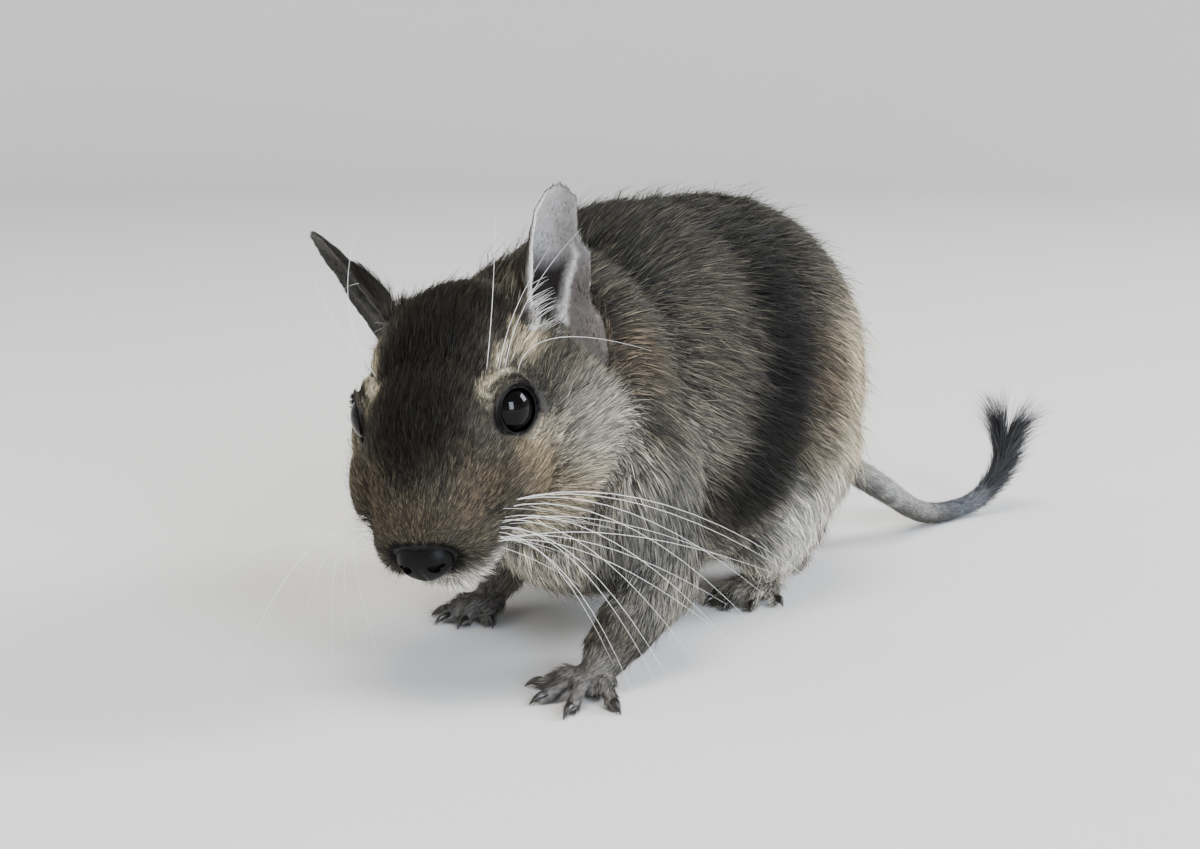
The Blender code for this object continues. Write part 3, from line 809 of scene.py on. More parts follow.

# The markings and the patches of painted shade, each laid over the ones before it
MARKINGS = (
    Marking(Axes.BODY, (0, -4, 74), (26, 46, 20), Fur.SLATE),
    Marking(Axes.BODY, (4, -30, 66), (17, 16, 14), Fur.SLATE),
    Marking(Axes.BODY, (0, 0, 2), (34, 46, 15), Fur.PALE),
    Marking(Axes.BODY, (25, -27, 36), (9, 9, 10), Fur.ASH, 0.3, True),
    Marking(Axes.BODY, (0, 46, 34), (26, 16, 26), Fur.BUFF),
    Marking(Axes.BODY, (30, 19, 42), (13, 14, 18), Fur.BUFF, 1.0, True),
    Marking(Axes.BODY, (22, 33, 32), (13, 13, 20), Fur.BUFF, 0.9, True),
    Marking(Axes.BODY, (31, 13, 29), (9, 13, 13), Fur.CREAM, 0.7, True),
    Marking(Axes.BODY, (28, 7, 15), (12, 15, 12), Fur.WHITE, 0.9, True),
    Marking(Axes.BODY, (27, 5, 42), (8, 6, 10), Fur.BROWN, 0.8, True),
    # Painted shade: a dark band down the fold between the flank and the thigh on both sides, where
    # the parted fur also shows its dark roots
    Marking(Axes.BODY, (20, -1.5, 63), (13, 9.5, 11), Fur.BLACK, 0.8, True),
    Marking(Axes.BODY, (25, -4.5, 52), (12, 9, 12), Fur.BLACK, 0.95, True),
    Marking(Axes.BODY, (27, -7.5, 41), (12, 8.5, 12), Fur.BLACK, 1.0, True),
    Marking(Axes.BODY, (27, -10.5, 32), (11, 8.5, 11), Fur.BLACK, 1.0, True),
    Marking(Axes.BODY, (25, -14, 25), (9, 8, 8), Fur.BLACK, 0.9, True),
    Marking(Axes.BODY, (20, -45, 33), (7, 7, 9), Fur.PALE, 0.8),
    Marking(Axes.BODY, (8, -50, 20), (13, 8, 13), Fur.PALE),
    Marking(Axes.BODY, (24, -41, 20), (10, 12, 15), Fur.SMOKE, 0.9),
    Marking(Axes.BODY, (-18, -27, 14), (9, 10, 12), Fur.SMOKE, 0.9),
    Marking(Axes.BODY, (18, -41, 50), (6, 6, 6), Fur.RUFOUS, 0.6, True),
    # The darker crown and nose bridge: the coat's own dark hair, deepened with painted shade where
    # the forehead faces away from the light
    Marking(Axes.HEAD, (0, -5, 6), (10, 20, 12), Fur.UMBER),
    Marking(Axes.HEAD, (0, 10, 10), (14, 13, 9), Fur.UMBER),
    Marking(Axes.HEAD, (9, -16, -3), (6, 7, 6), Fur.BROWN, 0.9, True),
    Marking(Axes.HEAD, (0, -21, -1), (7, 4, 5), Fur.BROWN, 0.55),
    Marking(Axes.HEAD, (10, -13, -9), (6, 6, 5), Fur.GRIZZLED, 0.9, True),
    Marking(Axes.HEAD, (13, -5, -8), (7, 7, 6), Fur.TAN, 0.85, True),
    Marking(Axes.HEAD, (14, -3, -4.6), (4, 3.5, 2.0), Fur.CREAM, 0.45, True),
    Marking(Axes.HEAD, (19, 2, -10), (8, 8, 8), Fur.ASH, 0.9, True),
    Marking(Axes.HEAD, (12, -6, -17), (9, 9, 6), Fur.BUFF, 0.9, True),
    Marking(Axes.HEAD, (0, -10, -21), (9, 12, 6), Fur.WHITE),
    Marking(Axes.HEAD, (4, -20, -13.5), (6, 5, 3.4), Fur.WHITE, 0.9, True),
    Marking(Axes.HEAD, (10.4, 3.0, 4.4), (2.0, 3.0, 2.6), Fur.CREAM, 0.9, True),
    Marking(Axes.HEAD, (9.0, -1.6, 4.0), (1.5, 3.2, 2.0), Fur.CREAM, 0.75, True),
    Marking(Axes.HEAD, (12.5, 8, 2.8), (3.0, 3.6, 3), Fur.BUFF, 0.9, True),
    # Painted shadow that the ear casts on the fur behind each eye
    Marking(Axes.HEAD, (16, 5.5, -2.5), (3.5, 4, 3), Fur.GRIZZLED, 0.6, True),
    Marking(Axes.BODY, (29, -36, 12), (4, 6, 9), Fur.PALE, 0.35),
    Marking(Axes.BODY, (22.3, -56, 2), (10, 11, 6), Fur.PAW),
    Marking(Axes.BODY, (-18, -32, 2), (9, 10, 6), Fur.PAW),
    Marking(Axes.BODY, (14, 10, 3), (9, 16, 6), Fur.PALE, 0.8, True),
    Marking(Axes.BODY, (13, -1, 1.0), (10, 5, 4), Fur.SLATE, 0.8, True),
    Marking(Axes.BODY, (13, 60, 10), (14, 22, 13), Fur.SILVER),
    *[Marking(Axes.BODY, place, (5, 3.4, 2.8), Fur.SLATE, 0.75) for place in TAIL_UNDERSIDE],
    Marking(Axes.BODY, (15.6, 73.6, 0.4), (5, 3.6, 2.7), Fur.SLATE, 0.75),
    Marking(Axes.BODY, (18, 88, 4), (12, 13, 8), Fur.STEEL),
)


@dataclass(frozen=True)
class EarTones:
    """The ear's colours: silver down inside, a hollow darkened with painted shade, a pale inner rim
    brightened partly by painted highlight, and a brown back.
    """

    hollow: str = "1f1a18"
    silver: str = "9f9c98"
    lobe: str = "4f4944"
    edge: str = "4a4541"
    rim: str = "ddd8d0"
    back: str = "33291f"
    back_low: str = "3d3022"

    def read(self, height: np.ndarray, share: np.ndarray, inside: np.ndarray) -> np.ndarray:
        """Reads the colours.

        Args:
            height: How far up the ear, in millimetres.
            share: How far across it, from the inner edge to the outer.
            inside: Whether each place faces the cup, from 0 to 1.

        Returns:
            Linear red, green and blue, one row per place.
        """
        fold = between(EAR_FOLD, height)
        # A painted highlight along the ridge of the fold
        fold_highlight = np.exp(-((share - fold - 0.03) / 0.03) ** 2)
        fold_highlight = fold_highlight * ease((height - 1) / 3) * ease((17 - height) / 3)
        front = np.tile(rgb(self.silver), (len(height), 1))
        for colour, amount in (
                # Painted shade on the outer half away from the light, the lobe past the fold, and
                # painted shade in the hollow under the fold and on the lobe's foot below its crease
                (self.edge, ease((share - 0.3) / 0.6) * 0.5),
                (self.lobe, ease((18.0 - height) / 9.0) * ease((share - fold) / 0.08)),
                (self.hollow, ease((16.0 - height) / 6.0) * ease((fold + 0.02 - share) / 0.08)),
                (self.edge, ease((1.5 - height) / 3.0) * ease((share - 0.5) / 0.1) * 0.6),
                # A painted highlight along the fold's ridge, the pale inner rim brightened partly
                # by painted highlight, and the pale outer rim
                (self.rim, fold_highlight * 0.5),
                (self.rim, ease((0.07 - share) / 0.04) * 0.9),
                (self.rim, ease((share - 0.975) / 0.02) * 0.3 * ease((height - 2) / 6))):
            front = blend(front, colour, amount)
        rear = np.tile(rgb(self.back), (len(height), 1))
        rear = blend(rear, self.back_low, ease((10.0 - height) / 8.0))
        # The pale inner rim on the back, brightened partly by painted highlight
        rear = blend(rear, self.rim, ease((0.03 - share) / 0.02) * 0.7)
        return rear + (front - rear) * inside[:, None]


# How far out a marking fades to nothing, as a share of its radii, and how much its edge wavers
MARKING_EDGE = 1.35
MARKING_WAVER = 0.12
# How far from the eye's middle the skin is dark leather, and over what distance that fades
LEATHER_REACH = 4.15
LEATHER_FADE = 0.5
# The brightness of the right ear, which is turned away from the light, beside the left one's
RIGHT_EAR_SHADE = 0.14


class Tones:
    """The coat's and skin's colours all over the body."""

    def __init__(self, ears: "EarMap") -> None:
        """Keeps the map of the ears."""
        self.ears = ears
        self.ear_tones = EarTones()

    def read(self, points: np.ndarray) -> np.ndarray:
        """Reads the colours.

        Args:
            points: Places, one per row.

        Returns:
            Linear red, green and blue, one row per place.
        """
        head = on_head(points)
        jitter = 1 + MARKING_WAVER * ripple(points, 5.0, 3, 1)[:, 0]
        tone = np.tile(rgb(Fur.GRIZZLED.value), (len(points), 1))
        for marking in MARKINGS:
            where = head if marking.axes is Axes.HEAD else points
            for side in sides_of(marking):
                away = (where - np.array(marking.place) * side.flip) / marking.radii
                away = np.linalg.norm(away, axis=1) * jitter
                share = ease(MARKING_EDGE - away) * marking.strength
                tone = blend(tone, marking.colour.value, share)
        lids = [ease((LEATHER_REACH - eye_distance(head, side)) / LEATHER_FADE) for side in Side]
        bare = np.maximum(pad_share(head, 1.2), np.max(lids, axis=0))
        tone = blend(tone, Fur.LEATHER.value, bare)
        belongs, height, share, inside, which = self.ears.read(points)
        shade = np.where(which < 0, RIGHT_EAR_SHADE, 1.0)[:, None]
        ear = self.ear_tones.read(height, share, inside) * shade
        return tone + (ear - tone) * belongs[:, None]


def pad_share(head: np.ndarray, reach: float) -> np.ndarray:
    """How much each place belongs to the nose pad, from 0 to 1.

    Args:
        head: Places in the head's axes, one per row.
        reach: The size of the pad's region, as a share of the pad's own.

    Returns:
        The shares.
    """
    away = np.linalg.norm((head - np.array(NOSE_CENTRE)) / PAD_RADII, axis=1)
    return ease((reach - away) / 0.12)


# How far out along an eye's line places still count as round the eye, and the distance of others
EYE_DEPTH = 9.0
NOWHERE = 99.0


def eye_distance(head: np.ndarray, side: Side) -> np.ndarray:
    """How far places are from the line of sight of an eye, in millimetres.

    Args:
        head: Places in the head's axes, one per row.
        side: Which eye.

    Returns:
        The distances, large for places that are not round the eye.
    """
    axis = eye_line(side)
    away = head - np.array(EYE_CENTRE) * side.flip
    along = away @ axis
    off = np.linalg.norm(away - along[:, None] * axis, axis=1)
    return np.where((along > 0) & (along < EYE_DEPTH), off, NOWHERE)


# Ears

# Where each ear grows, how it rises and how it opens, in the head's axes
EAR_BASE = {Side.LEFT: (14.6, 13.0, -2.4), Side.RIGHT: (-11.6, 14.0, 1.0)}
EAR_RISE = {Side.LEFT: (2.9, 16.4, 16.8), Side.RIGHT: (-15.5, 17.3, 6.9)}
EAR_OPENING = {Side.LEFT: (0.66, -0.55, 0.32), Side.RIGHT: (-0.72, -0.55, 0.12)}
# The ear's outline: its height up the ear, and its inner and outer edge there
EAR_LOW = -6.0
EAR_HIGH = 24.0
EAR_INNER = ((-6.0, 0.0), (-4.0, -1.4), (-1.0, -2.6), (2.5, -3.7), (12.0, -4.0), (16.0, -4.0),
             (19.5, -3.7), (22.3, -2.4), (24.0, -0.5))
EAR_OUTER = ((-6.0, 1.0), (-5.2, 3.6), (-3.6, 5.6), (-1.0, 6.9), (2.4, 7.2), (8.0, 6.2),
             (13.4, 6.3), (15.6, 4.6), (17.0, 3.8), (21.6, 3.6), (23.3, 2.2), (24.0, 0.5))
# The depth of its cup, and how far its inner wall bulges beyond the inner edge
EAR_CUP = ((-6.0, 0.2), (-3.0, 2.0), (0.5, 5.0), (5.0, 6.8), (10.0, 5.6), (16.0, 3.4),
           (21.0, 1.8), (24.0, 0.3))
EAR_BULGE = ((-6.0, 0.0), (1.0, 2.2), (8.0, 2.4), (14.0, 1.3), (20.0, 0.3), (24.0, 0.0))
# The depth of each ear's cup beside the table's
EAR_DEPTH = {Side.LEFT: 1.0, Side.RIGHT: 0.5}
# Where the outer lobe folds forward from the cup, as a share of the width, and the heights
# between which the fold opens out
EAR_FOLD = ((-6.0, 0.5), (2.0, 0.54), (8.0, 0.66), (16.0, 0.84), (24.0, 0.84))
EAR_LOBE_TOP = (11.0, 16.0)


def between(table: tuple, places: np.ndarray) -> np.ndarray:
    """Reads a table of places and values, eased between its rows.

    Args:
        table: Pairs of place and value.
        places: Where to read.

    Returns:
        The value at each place.
    """
    at = np.array([row[0] for row in table])
    values = np.array([row[1] for row in table])
    low = np.clip(np.searchsorted(at, places, side="left") - 1, 0, len(at) - 2)
    share = ease((places - at[low]) / (at[low + 1] - at[low]))
    return values[low] + (values[low + 1] - values[low]) * share


@dataclass
class Ear:
    """One thin cupped ear with its folds, to be fused with the head.

    bulge_end is how far across the inner wall's bulge goes, cup_power rounds the hollow's walls,
    lobe_depth is the outer lobe's depth beside the cup's, and flare is how far the ear's foot
    spreads forward.
    """

    side: Side
    rows: int = 70
    columns: int = 40
    thickness: float = 0.8
    bulge_end: float = 0.6
    cup_power: float = 0.7
    lobe_depth: float = 0.3
    flare: float = 3.4

    def axes(self) -> tuple[np.ndarray, np.ndarray, np.ndarray]:
        """The way the ear rises, the way across it and the way it opens, in the head's axes."""
        rise = unit(np.array(EAR_RISE[self.side]))
        opening = np.array(EAR_OPENING[self.side])
        out = unit(opening - rise * (opening @ rise))
        return rise, np.cross(rise, out) * self.side.value, out

    def sheet(self, height: np.ndarray, share: np.ndarray) -> np.ndarray:
        """Points of the ear's sheet.

        Args:
            height: How far up the ear, in millimetres.
            share: How far across it, from the inner edge to the outer.

        Returns:
            The points in the head's axes, one per row.
        """
        rise, across, out = self.axes()
        inner, outer = between(EAR_INNER, height), between(EAR_OUTER, height)
        swell = np.sin(math.pi * np.minimum(1.0, share / self.bulge_end))
        aside = inner + (outer - inner) * share - between(EAR_BULGE, height) * swell
        cup, fold = between(EAR_CUP, height) * EAR_DEPTH[self.side], between(EAR_FOLD, height)
        round_cup = cup * np.sin(math.pi * share)
        wall = np.maximum(0, np.sin(math.pi * np.minimum(share / (fold + 0.04), 1.0)))
        hollow = cup * wall ** self.cup_power
        lobe = np.minimum(1.0, (1 - share) / (1 - fold)) * (share > fold / 2)
        folded = np.maximum(hollow, self.lobe_depth * cup * lobe)
        low, high = EAR_LOBE_TOP
        depth = folded + (round_cup - folded) * ease((height - low) / (high - low))
        depth -= self.flare * ease((5.0 - height) / 8.0) * ease((share - 0.15) / 0.4)
        return (np.array(EAR_BASE[self.side]) + height[:, None] * rise + aside[:, None] * across
                - depth[:, None] * out)

    def build(self) -> bpy.types.Object:
        """Makes the ear.

        Returns:
            A closed thin shell in the pose's axes.
        """
        deselect()
        bpy.ops.mesh.primitive_grid_add(x_subdivisions=self.columns, y_subdivisions=self.rows,
                                        size=2)
        made = bpy.context.object
        share, height = ((places_of(made.data)[:, :2] + 1) / 2).T
        set_places(made.data, self.sheet(EAR_LOW + (EAR_HIGH - EAR_LOW) * height, share))
        apply_modifier(made, "SOLIDIFY", thickness=self.thickness, offset=0.0,
                       use_even_offset=True)
        on_whole_mesh(made, bpy.ops.mesh.normals_make_consistent, inside=False)
        made.data.transform(HEAD)
        return made


# How far from an ear's middle sheet places are still looked up, and how far they belong to it
EAR_LOOKUP = 2.0
EAR_BELONGS = 1.75


class EarMap:
    """Tells for any place how near an ear it is, and where on it."""

    def __init__(self) -> None:
        """Spreads sample points over both ears."""
        height, share = np.meshgrid(np.linspace(EAR_LOW, EAR_HIGH, 90), np.linspace(0, 1, 46),
                                    indexing="ij")
        self.spots = []
        self.tree = KDTree(2 * height.size)
        for side in Side:
            ear = Ear(side)
            sheet = ear.sheet(height.ravel(), share.ravel()).reshape(*height.shape, 3)
            facing = unit(np.cross(np.gradient(sheet, axis=0), np.gradient(sheet, axis=1)))
            facing *= np.sign((facing @ ear.axes()[2]).mean())
            for h, s, place, way in zip(height.ravel(), share.ravel(), sheet.reshape(-1, 3),
                                        facing.reshape(-1, 3)):
                self.tree.insert(place, len(self.spots))
                self.spots.append((h, s, *place, *way, side.value))
        self.tree.balance()
        self.spots = np.array(self.spots)

    def read(self, points: np.ndarray) -> tuple[np.ndarray, ...]:
        """Reads the map.

        Args:
            points: Places in the pose's axes, one per row.

        Returns:
            How much each place belongs to an ear, its height and its share across the ear, whether
            it faces the cup, each from 0 to 1 but for the height, and the ear's side.
        """
        head = on_head(points)
        belongs, height, share, inside, side = np.zeros((5, len(points)))
        # Only places behind the eyes and off the head's middle can be on an ear
        near = (head[:, 1] > 8) & (head[:, 2] > -9) & (np.abs(head[:, 0]) > 5)
        for index in np.nonzero(near)[0]:
            _, spot, away = self.tree.find(head[index])
            if away < EAR_LOOKUP:
                row = self.spots[spot]
                belongs[index] = EAR_BELONGS - away
                height[index], share[index], side[index] = row[0], row[1], row[8]
                inside[index] = (head[index] - row[2:5]) @ row[5:8]
        return ease(belongs), height, share, ease(inside / 0.3 + 0.5), side


# The skin

# How far from the eye's middle the bare lid reaches, and how near the hair grows
LID_EDGE = 3.9
HAIR_EDGE = 3.35


@dataclass
class Skin:
    """One skin over the flesh, inside the coat's outer form by the coat's depth.

    bridge is how far the solids are grown to meet, and tip_start and tip_radii give the end of
    the tail inside its brush. ear_depth and pad_depth are the depth at the ears and the nose pad.
    The lids are opened by lid_opening, less corner_loss at their corners, and lie lid_gap off the
    eyeball with lid_thickness. smoothing is how often all of the skin is smoothed, and
    plain_smoothing its plain parts.
    """

    lie: Lie
    ears: EarMap
    voxel: float = 0.42
    bridge: float = 0.26
    triangles: int = 180_000
    tip_start: int = 42
    tip_radii: tuple[float, float] = (1.7, 0.7)
    ear_depth: float = 0.1
    pad_depth: float = 0.45
    lid_opening: float = 0.85
    corner_loss: float = 0.45
    lid_gap: float = 0.28
    lid_thickness: float = 0.35
    smoothing: int = 4
    plain_smoothing: int = 12

    def build(self) -> bpy.types.Object:
        """Fuses the flesh, sinks it by the coat's depth, opens the lids, smooths and thins it.

        Returns:
            The skin, in the pose's axes.
        """
        whole = self.fuse()
        places = places_of(whole.data)
        _, form = self.lie.read(places)
        ear = self.ears.read(places)[0]
        depth = (form[:, 2] + 0.5 * self.bridge) * (1 - ear) + self.ear_depth * ear
        depth *= 1 - self.face_share(places, LID_EDGE)
        depth += self.pad_depth * pad_share(on_head(places), 1.15)
        set_places(whole.data, self.open_lids(places - normals_of(whole.data) * depth[:, None]))
        group = whole.vertex_groups.new(name="plain")
        plain = np.clip((form[:, 2] - 0.6) / 1.0, 0.0, 1.0) * (1 - ear)
        for level in np.unique(np.round(plain, 1)):
            chosen = np.nonzero(np.round(plain, 1) == level)[0].tolist()
            group.add(chosen, float(level), "REPLACE")
        apply_modifier(whole, "SMOOTH", factor=0.5, iterations=self.plain_smoothing,
                       vertex_group="plain")
        count = len(triangles_of(whole.data))
        if count > self.triangles:
            apply_modifier(whole, "DECIMATE", ratio=self.triangles / count, vertex_group="plain",
                           vertex_group_factor=1.0)
        whole.vertex_groups.clear()
        return whole

    def fuse(self) -> bpy.types.Object:
        """Fuses copies of the nodes of flesh, the ears and the end of the tail.

        Returns:
            One closed mesh in the pose's axes, at the coat's outer form.
        """
        pieces = []
        for name in FLESH:
            made = bpy.data.objects.new(name + "_copy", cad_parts[name].data.copy())
            bpy.context.scene.collection.objects.link(made)
            made.data.transform(FROM_FRAME)
            on_whole_mesh(made, bpy.ops.mesh.remove_doubles, threshold=0.002)
            apply_modifier(made, "DISPLACE", strength=self.bridge, mid_level=0.0)
            pieces.append(made)
        pieces += [Ear(side).build() for side in Side]
        path = tail_path(6)[self.tip_start:-1]
        pieces.append(tubes("tail_tip", [path], [np.linspace(*self.tip_radii, len(path))], 10))
        whole = join("skin", pieces)
        apply_modifier(whole, "REMESH", mode="VOXEL", voxel_size=self.voxel)
        self.keep_largest(whole)
        apply_modifier(whole, "SMOOTH", factor=0.5, iterations=self.smoothing)
        return whole

    def open_lids(self, places: np.ndarray) -> np.ndarray:
        """Widens the openings between the lids, less at their corners, and lays their edges on
        the eyeballs.

        Args:
            places: The skin's vertices.

        Returns:
            The vertices, moved near the eyes.
        """
        head = on_head(places)
        for side in Side:
            axis = eye_line(side)
            near = eye_distance(head, side) < 7.5
            away = head[near] - EYE_SEAT * side.flip
            along = away @ axis
            spoke = away - along[:, None] * axis
            off = np.linalg.norm(spoke, axis=1)
            level = unit(np.cross((0.0, 0.2, 1.0), axis))
            lengthwise = (spoke @ level) ** 2 / np.maximum(off, 0.1) ** 2
            opening = self.lid_opening - self.corner_loss * lengthwise
            wider = off + opening * ease((7.0 - off) / 4.0)
            spoke = unit(spoke) * wider[:, None]
            edge = ease((4.6 - wider) / 1.2)
            seat = np.sqrt(np.maximum((EYE_RADIUS + self.lid_gap) ** 2 - wider ** 2, 0.2))
            laid = along + (np.minimum(along, seat + self.lid_thickness) - along) * edge
            along = np.where(along > 0.5, laid, along)
            head[near] = EYE_SEAT * side.flip + along[:, None] * axis + spoke
        return moved(head, HEAD)

    def keep_largest(self, obj: bpy.types.Object) -> None:
        """Drops all but the largest shell of an object.

        Args:
            obj: The object.
        """
        shape = bmesh.new()
        shape.from_mesh(obj.data)
        left, shells = set(shape.verts), []
        while left:
            shell, todo = set(), [left.pop()]
            while todo:
                vert = todo.pop()
                shell.add(vert)
                near = [edge.other_vert(vert) for edge in vert.link_edges]
                fresh = [other for other in near if other in left]
                left.difference_update(fresh)
                todo.extend(fresh)
            shells.append(shell)
        shells.sort(key=len)
        loose = [vert for shell in shells[:-1] for vert in shell]
        bmesh.ops.delete(shape, geom=loose, context="VERTS")
        shape.to_mesh(obj.data)
        shape.free()

    def face_share(self, points: np.ndarray, lid: float) -> np.ndarray:
        """How bare each place is near the eyes and the nose pad, from 0 to 1.

        Args:
            points: Places, one per row.
            lid: How far from the eye's middle the bare part reaches, in millimetres.

        Returns:
            The shares.
        """
        head = on_head(points)
        share = pad_share(head, 1.1)
        for side in Side:
            share = np.maximum(share, ease((lid - eye_distance(head, side)) / 0.4))
        return share


# Fur

# How many tufts gather to a point, how far hair stays above the floor, and a piece's most tufts
CLUMP_SIZE = 5
FLOOR_CLEAR = 0.06
MOST_TUFTS = 66_000
# The size of a tuft's patch of the bake's map, and the tuft's corners on it
PATCH_SIZE = 0.003
TUFT_PATCH = ((-0.5, -0.5), (0.5, -0.5), (-0.5, 0), (0.5, 0), (0, 0.5))
# The triangles of a tuft: two at its root and one at its tip, over five corners
TUFT_TRIANGLES = ((0, 1, 3), (0, 3, 2), (2, 3, 4))
# How far along the tuft each corner is
TUFT_ALONG = (0.0, 0.0, 0.5, 0.5, 1.0)
# How much length, lift and width vary from tuft to tuft, and a guard hair's beside the others'
LENGTH_SPAN = (0.65, 1.1)
LIFT_SPAN = (0.5, 1.5)
WIDTH_SPAN = (0.45, 0.95)
GUARD_LENGTH = 1.4
GUARD_LIFT = 1.8
GUARD_WIDTH = 0.6
# Where along the tuft it bends over
BEND_AT = 0.45


@dataclass
class Coat:
    """One stretch of the coat as thin tapered tufts over part of the skin.

    density is the tufts for one hair's own area and sink how deep they root; stray, clump and
    gather are how much they point astray, sway together and meet at their tips; guard is the
    share of long guard hairs, and ticking how much brightness varies from one to the next.
    """

    name: str
    density: float
    seed: int
    ticking: float
    slot: str = "coat"
    sink: float = 0.15
    stray: float = 0.1
    clump: float = 0.13
    gather: float = 0.35
    guard: float = 0.03

    def build(self, roots: bpy.types.Object, chosen: np.ndarray, lie: Lie, tones: Tones,
              bare: np.ndarray, look: bpy.types.Material) -> None:
        """Spreads the tufts' roots evenly for the hair's own size, and grows the tufts.

        Args:
            roots: The surface they grow from.
            chosen: The numbers of its triangles in this stretch.
            lie: How the hair lies.
            tones: Its colours.
            bare: How bare each vertex of the surface is.
            look: The coat's material.
        """
        draw = np.random.default_rng(self.seed)
        places, normals = places_of(roots.data), normals_of(roots.data)
        triangles = triangles_of(roots.data)[chosen]
        corners = places[triangles]
        sides = corners[:, 1:] - corners[:, :1]
        area = np.linalg.norm(np.cross(sides[:, 0], sides[:, 1]), axis=1)
        _, form = lie.read(corners.mean(1))
        crowd = area / np.maximum(form[:, 0] * form[:, 3], 0.08) * (1 - bare[triangles].mean(1))
        tufts = min(MOST_TUFTS, int(self.density * crowd.sum()))
        steps = np.cumsum(crowd) / crowd.sum()
        index = np.minimum(np.searchsorted(steps, draw.random(tufts)), len(triangles) - 1)
        share = draw.random((tufts, 2))
        over = share.sum(1) > 1
        share[over] = 1 - share[over]
        weights = np.column_stack((1 - share.sum(1), share))[:, :, None]
        root = (corners[index] * weights).sum(1)
        normal = unit((normals[triangles[index]] * weights).sum(1))
        uv = (self.unwrap(places, triangles)[index] * weights).sum(1)
        self.grow(root, normal, uv, lie, tones, look, draw)

    def unwrap(self, places: np.ndarray, triangles: np.ndarray) -> np.ndarray:
        """Unwraps this stretch of the skin.

        Args:
            places: The surface's vertices.
            triangles: Its triangles in this stretch.

        Returns:
            The places in the unwrap of each triangle's corners.
        """
        used, renumbered = np.unique(triangles, return_inverse=True)
        patch = from_arrays("patch", places[used], renumbered.reshape(-1, 3))
        on_whole_mesh(patch, bpy.ops.uv.smart_project, angle_limit=math.radians(66),
                      island_margin=0.002)
        found = np.empty(len(patch.data.loops) * 2, np.float32)
        patch.data.uv_layers.active.uv.foreach_get("vector", found)
        bpy.data.objects.remove(patch, do_unlink=True)
        return found.reshape(-1, 3, 2).astype(float) * 0.99 + 0.004

    def grow(self, root: np.ndarray, normal: np.ndarray, uv: np.ndarray, lie: Lie, tones: Tones,
             look: bpy.types.Material, draw: np.random.Generator) -> None:
        """Makes the tufts' mesh and dresses it.

        Args:
            root: Where each tuft grows.
            normal: The skin's normal there.
            uv: Its place in the unwrap.
            lie: How the hair lies.
            tones: Its colours.
            look: The coat's material.
            draw: The random draw.
        """
        count = len(root)
        way, form = lie.read(root)
        length, lift, _, width = form.T
        way = way + self.clump * ripple(root, 2.6, 21)
        way = way + self.stray * draw.normal(size=(count, 3))
        way = unit(way - normal * (way * normal).sum(1, keepdims=True))
        length = length * draw.uniform(*LENGTH_SPAN, count)
        lift = np.radians(lift * draw.uniform(*LIFT_SPAN, count))
        guard = draw.random(count) < self.guard
        length = np.where(guard, length * GUARD_LENGTH, length)
        lift = np.where(guard, lift * GUARD_LIFT, lift)
        width = np.where(guard, width * GUARD_WIDTH, width)
        rise, fall = np.tan(lift)[:, None], np.tan(lift * 0.25)[:, None]
        across = unit(np.cross(way, normal))
        twist = draw.normal(size=(count, 1)) * 0.5
        blade = unit(across + normal * twist)
        low = root - normal * self.sink
        middle = low + unit(way + normal * (rise * 1.5)) * (length * BEND_AT)[:, None]
        tip = middle + unit(way + normal * fall) * (length * (1 - BEND_AT))[:, None]
        chance = draw.random(count)
        leader = self.leaders(root, draw)
        share = np.where(guard, 0.0, self.gather * draw.uniform(0.5, 1.3, count))[:, None]
        tip += (tip[leader] + 0.35 * (root - root[leader]) - tip) * share
        middle += (middle[leader] + 0.7 * (root - root[leader]) - middle) * share * 0.6
        chance = 0.55 + (0.3 * chance[leader] + 0.7 * chance - 0.55) * self.ticking
        half = (width * draw.uniform(*WIDTH_SPAN, count) / 2)[:, None]
        places = np.stack((low - blade * half * 0.8, low + blade * half * 0.8,
                           middle - blade * half, middle + blade * half, tip), 1).reshape(-1, 3)
        places[:, 2] = np.maximum(places[:, 2], FLOOR_CLEAR)
        start = np.arange(count)[:, None, None] * len(TUFT_ALONG)
        triangles = (start + np.array(TUFT_TRIANGLES)).reshape(-1, 3)
        made = from_arrays(self.name, places, triangles)
        paint(made.data, "tone", np.repeat(tones.read(root), len(TUFT_ALONG), axis=0))
        paint(made.data, "along", np.tile(TUFT_ALONG, count))
        paint(made.data, "chance", np.repeat(chance, len(TUFT_ALONG)))
        self.lay_patches(made.data, uv)
        settle(made, look)

    def leaders(self, root: np.ndarray, draw: np.random.Generator) -> np.ndarray:
        """Picks for each tuft the tuft that it gathers to.

        Args:
            root: Where each tuft grows.
            draw: The random draw.

        Returns:
            The number of each tuft's leader.
        """
        chosen = np.nonzero(draw.random(len(root)) < 1 / CLUMP_SIZE)[0]
        tree = KDTree(len(chosen))
        for number in chosen:
            tree.insert(root[number], int(number))
        tree.balance()
        return np.array([tree.find(place)[1] for place in root])

    def lay_patches(self, mesh: bpy.types.Mesh, uv: np.ndarray) -> None:
        """Gives each tuft its own small patch of the bake's map.

        Args:
            mesh: The tufts' mesh.
            uv: The middle of each tuft's patch.
        """
        corners = (uv[:, None, :] + np.array(TUFT_PATCH) * PATCH_SIZE).reshape(-1, 2)
        order = np.empty(len(mesh.loops), np.int32)
        mesh.loops.foreach_get("vertex_index", order)
        layer = mesh.uv_layers.new(name="OFBake")
        spread = np.clip(corners[order], 0.0, 1.0).astype(np.float32)
        layer.uv.foreach_set("vector", spread.ravel())


# How far two stretches of the coat grow into each other
BORDER = 1.6
# How much darker the skin is than the hair that covers it: partly the dark underfur, partly painted
# shade in the gaps between tufts
UNDER_HAIR = 0.62
# How far down the back reaches and how far up the belly, and how far back on the head the face
BACK_LOW = 58
BELLY_HIGH = 18
FACE_END = -2
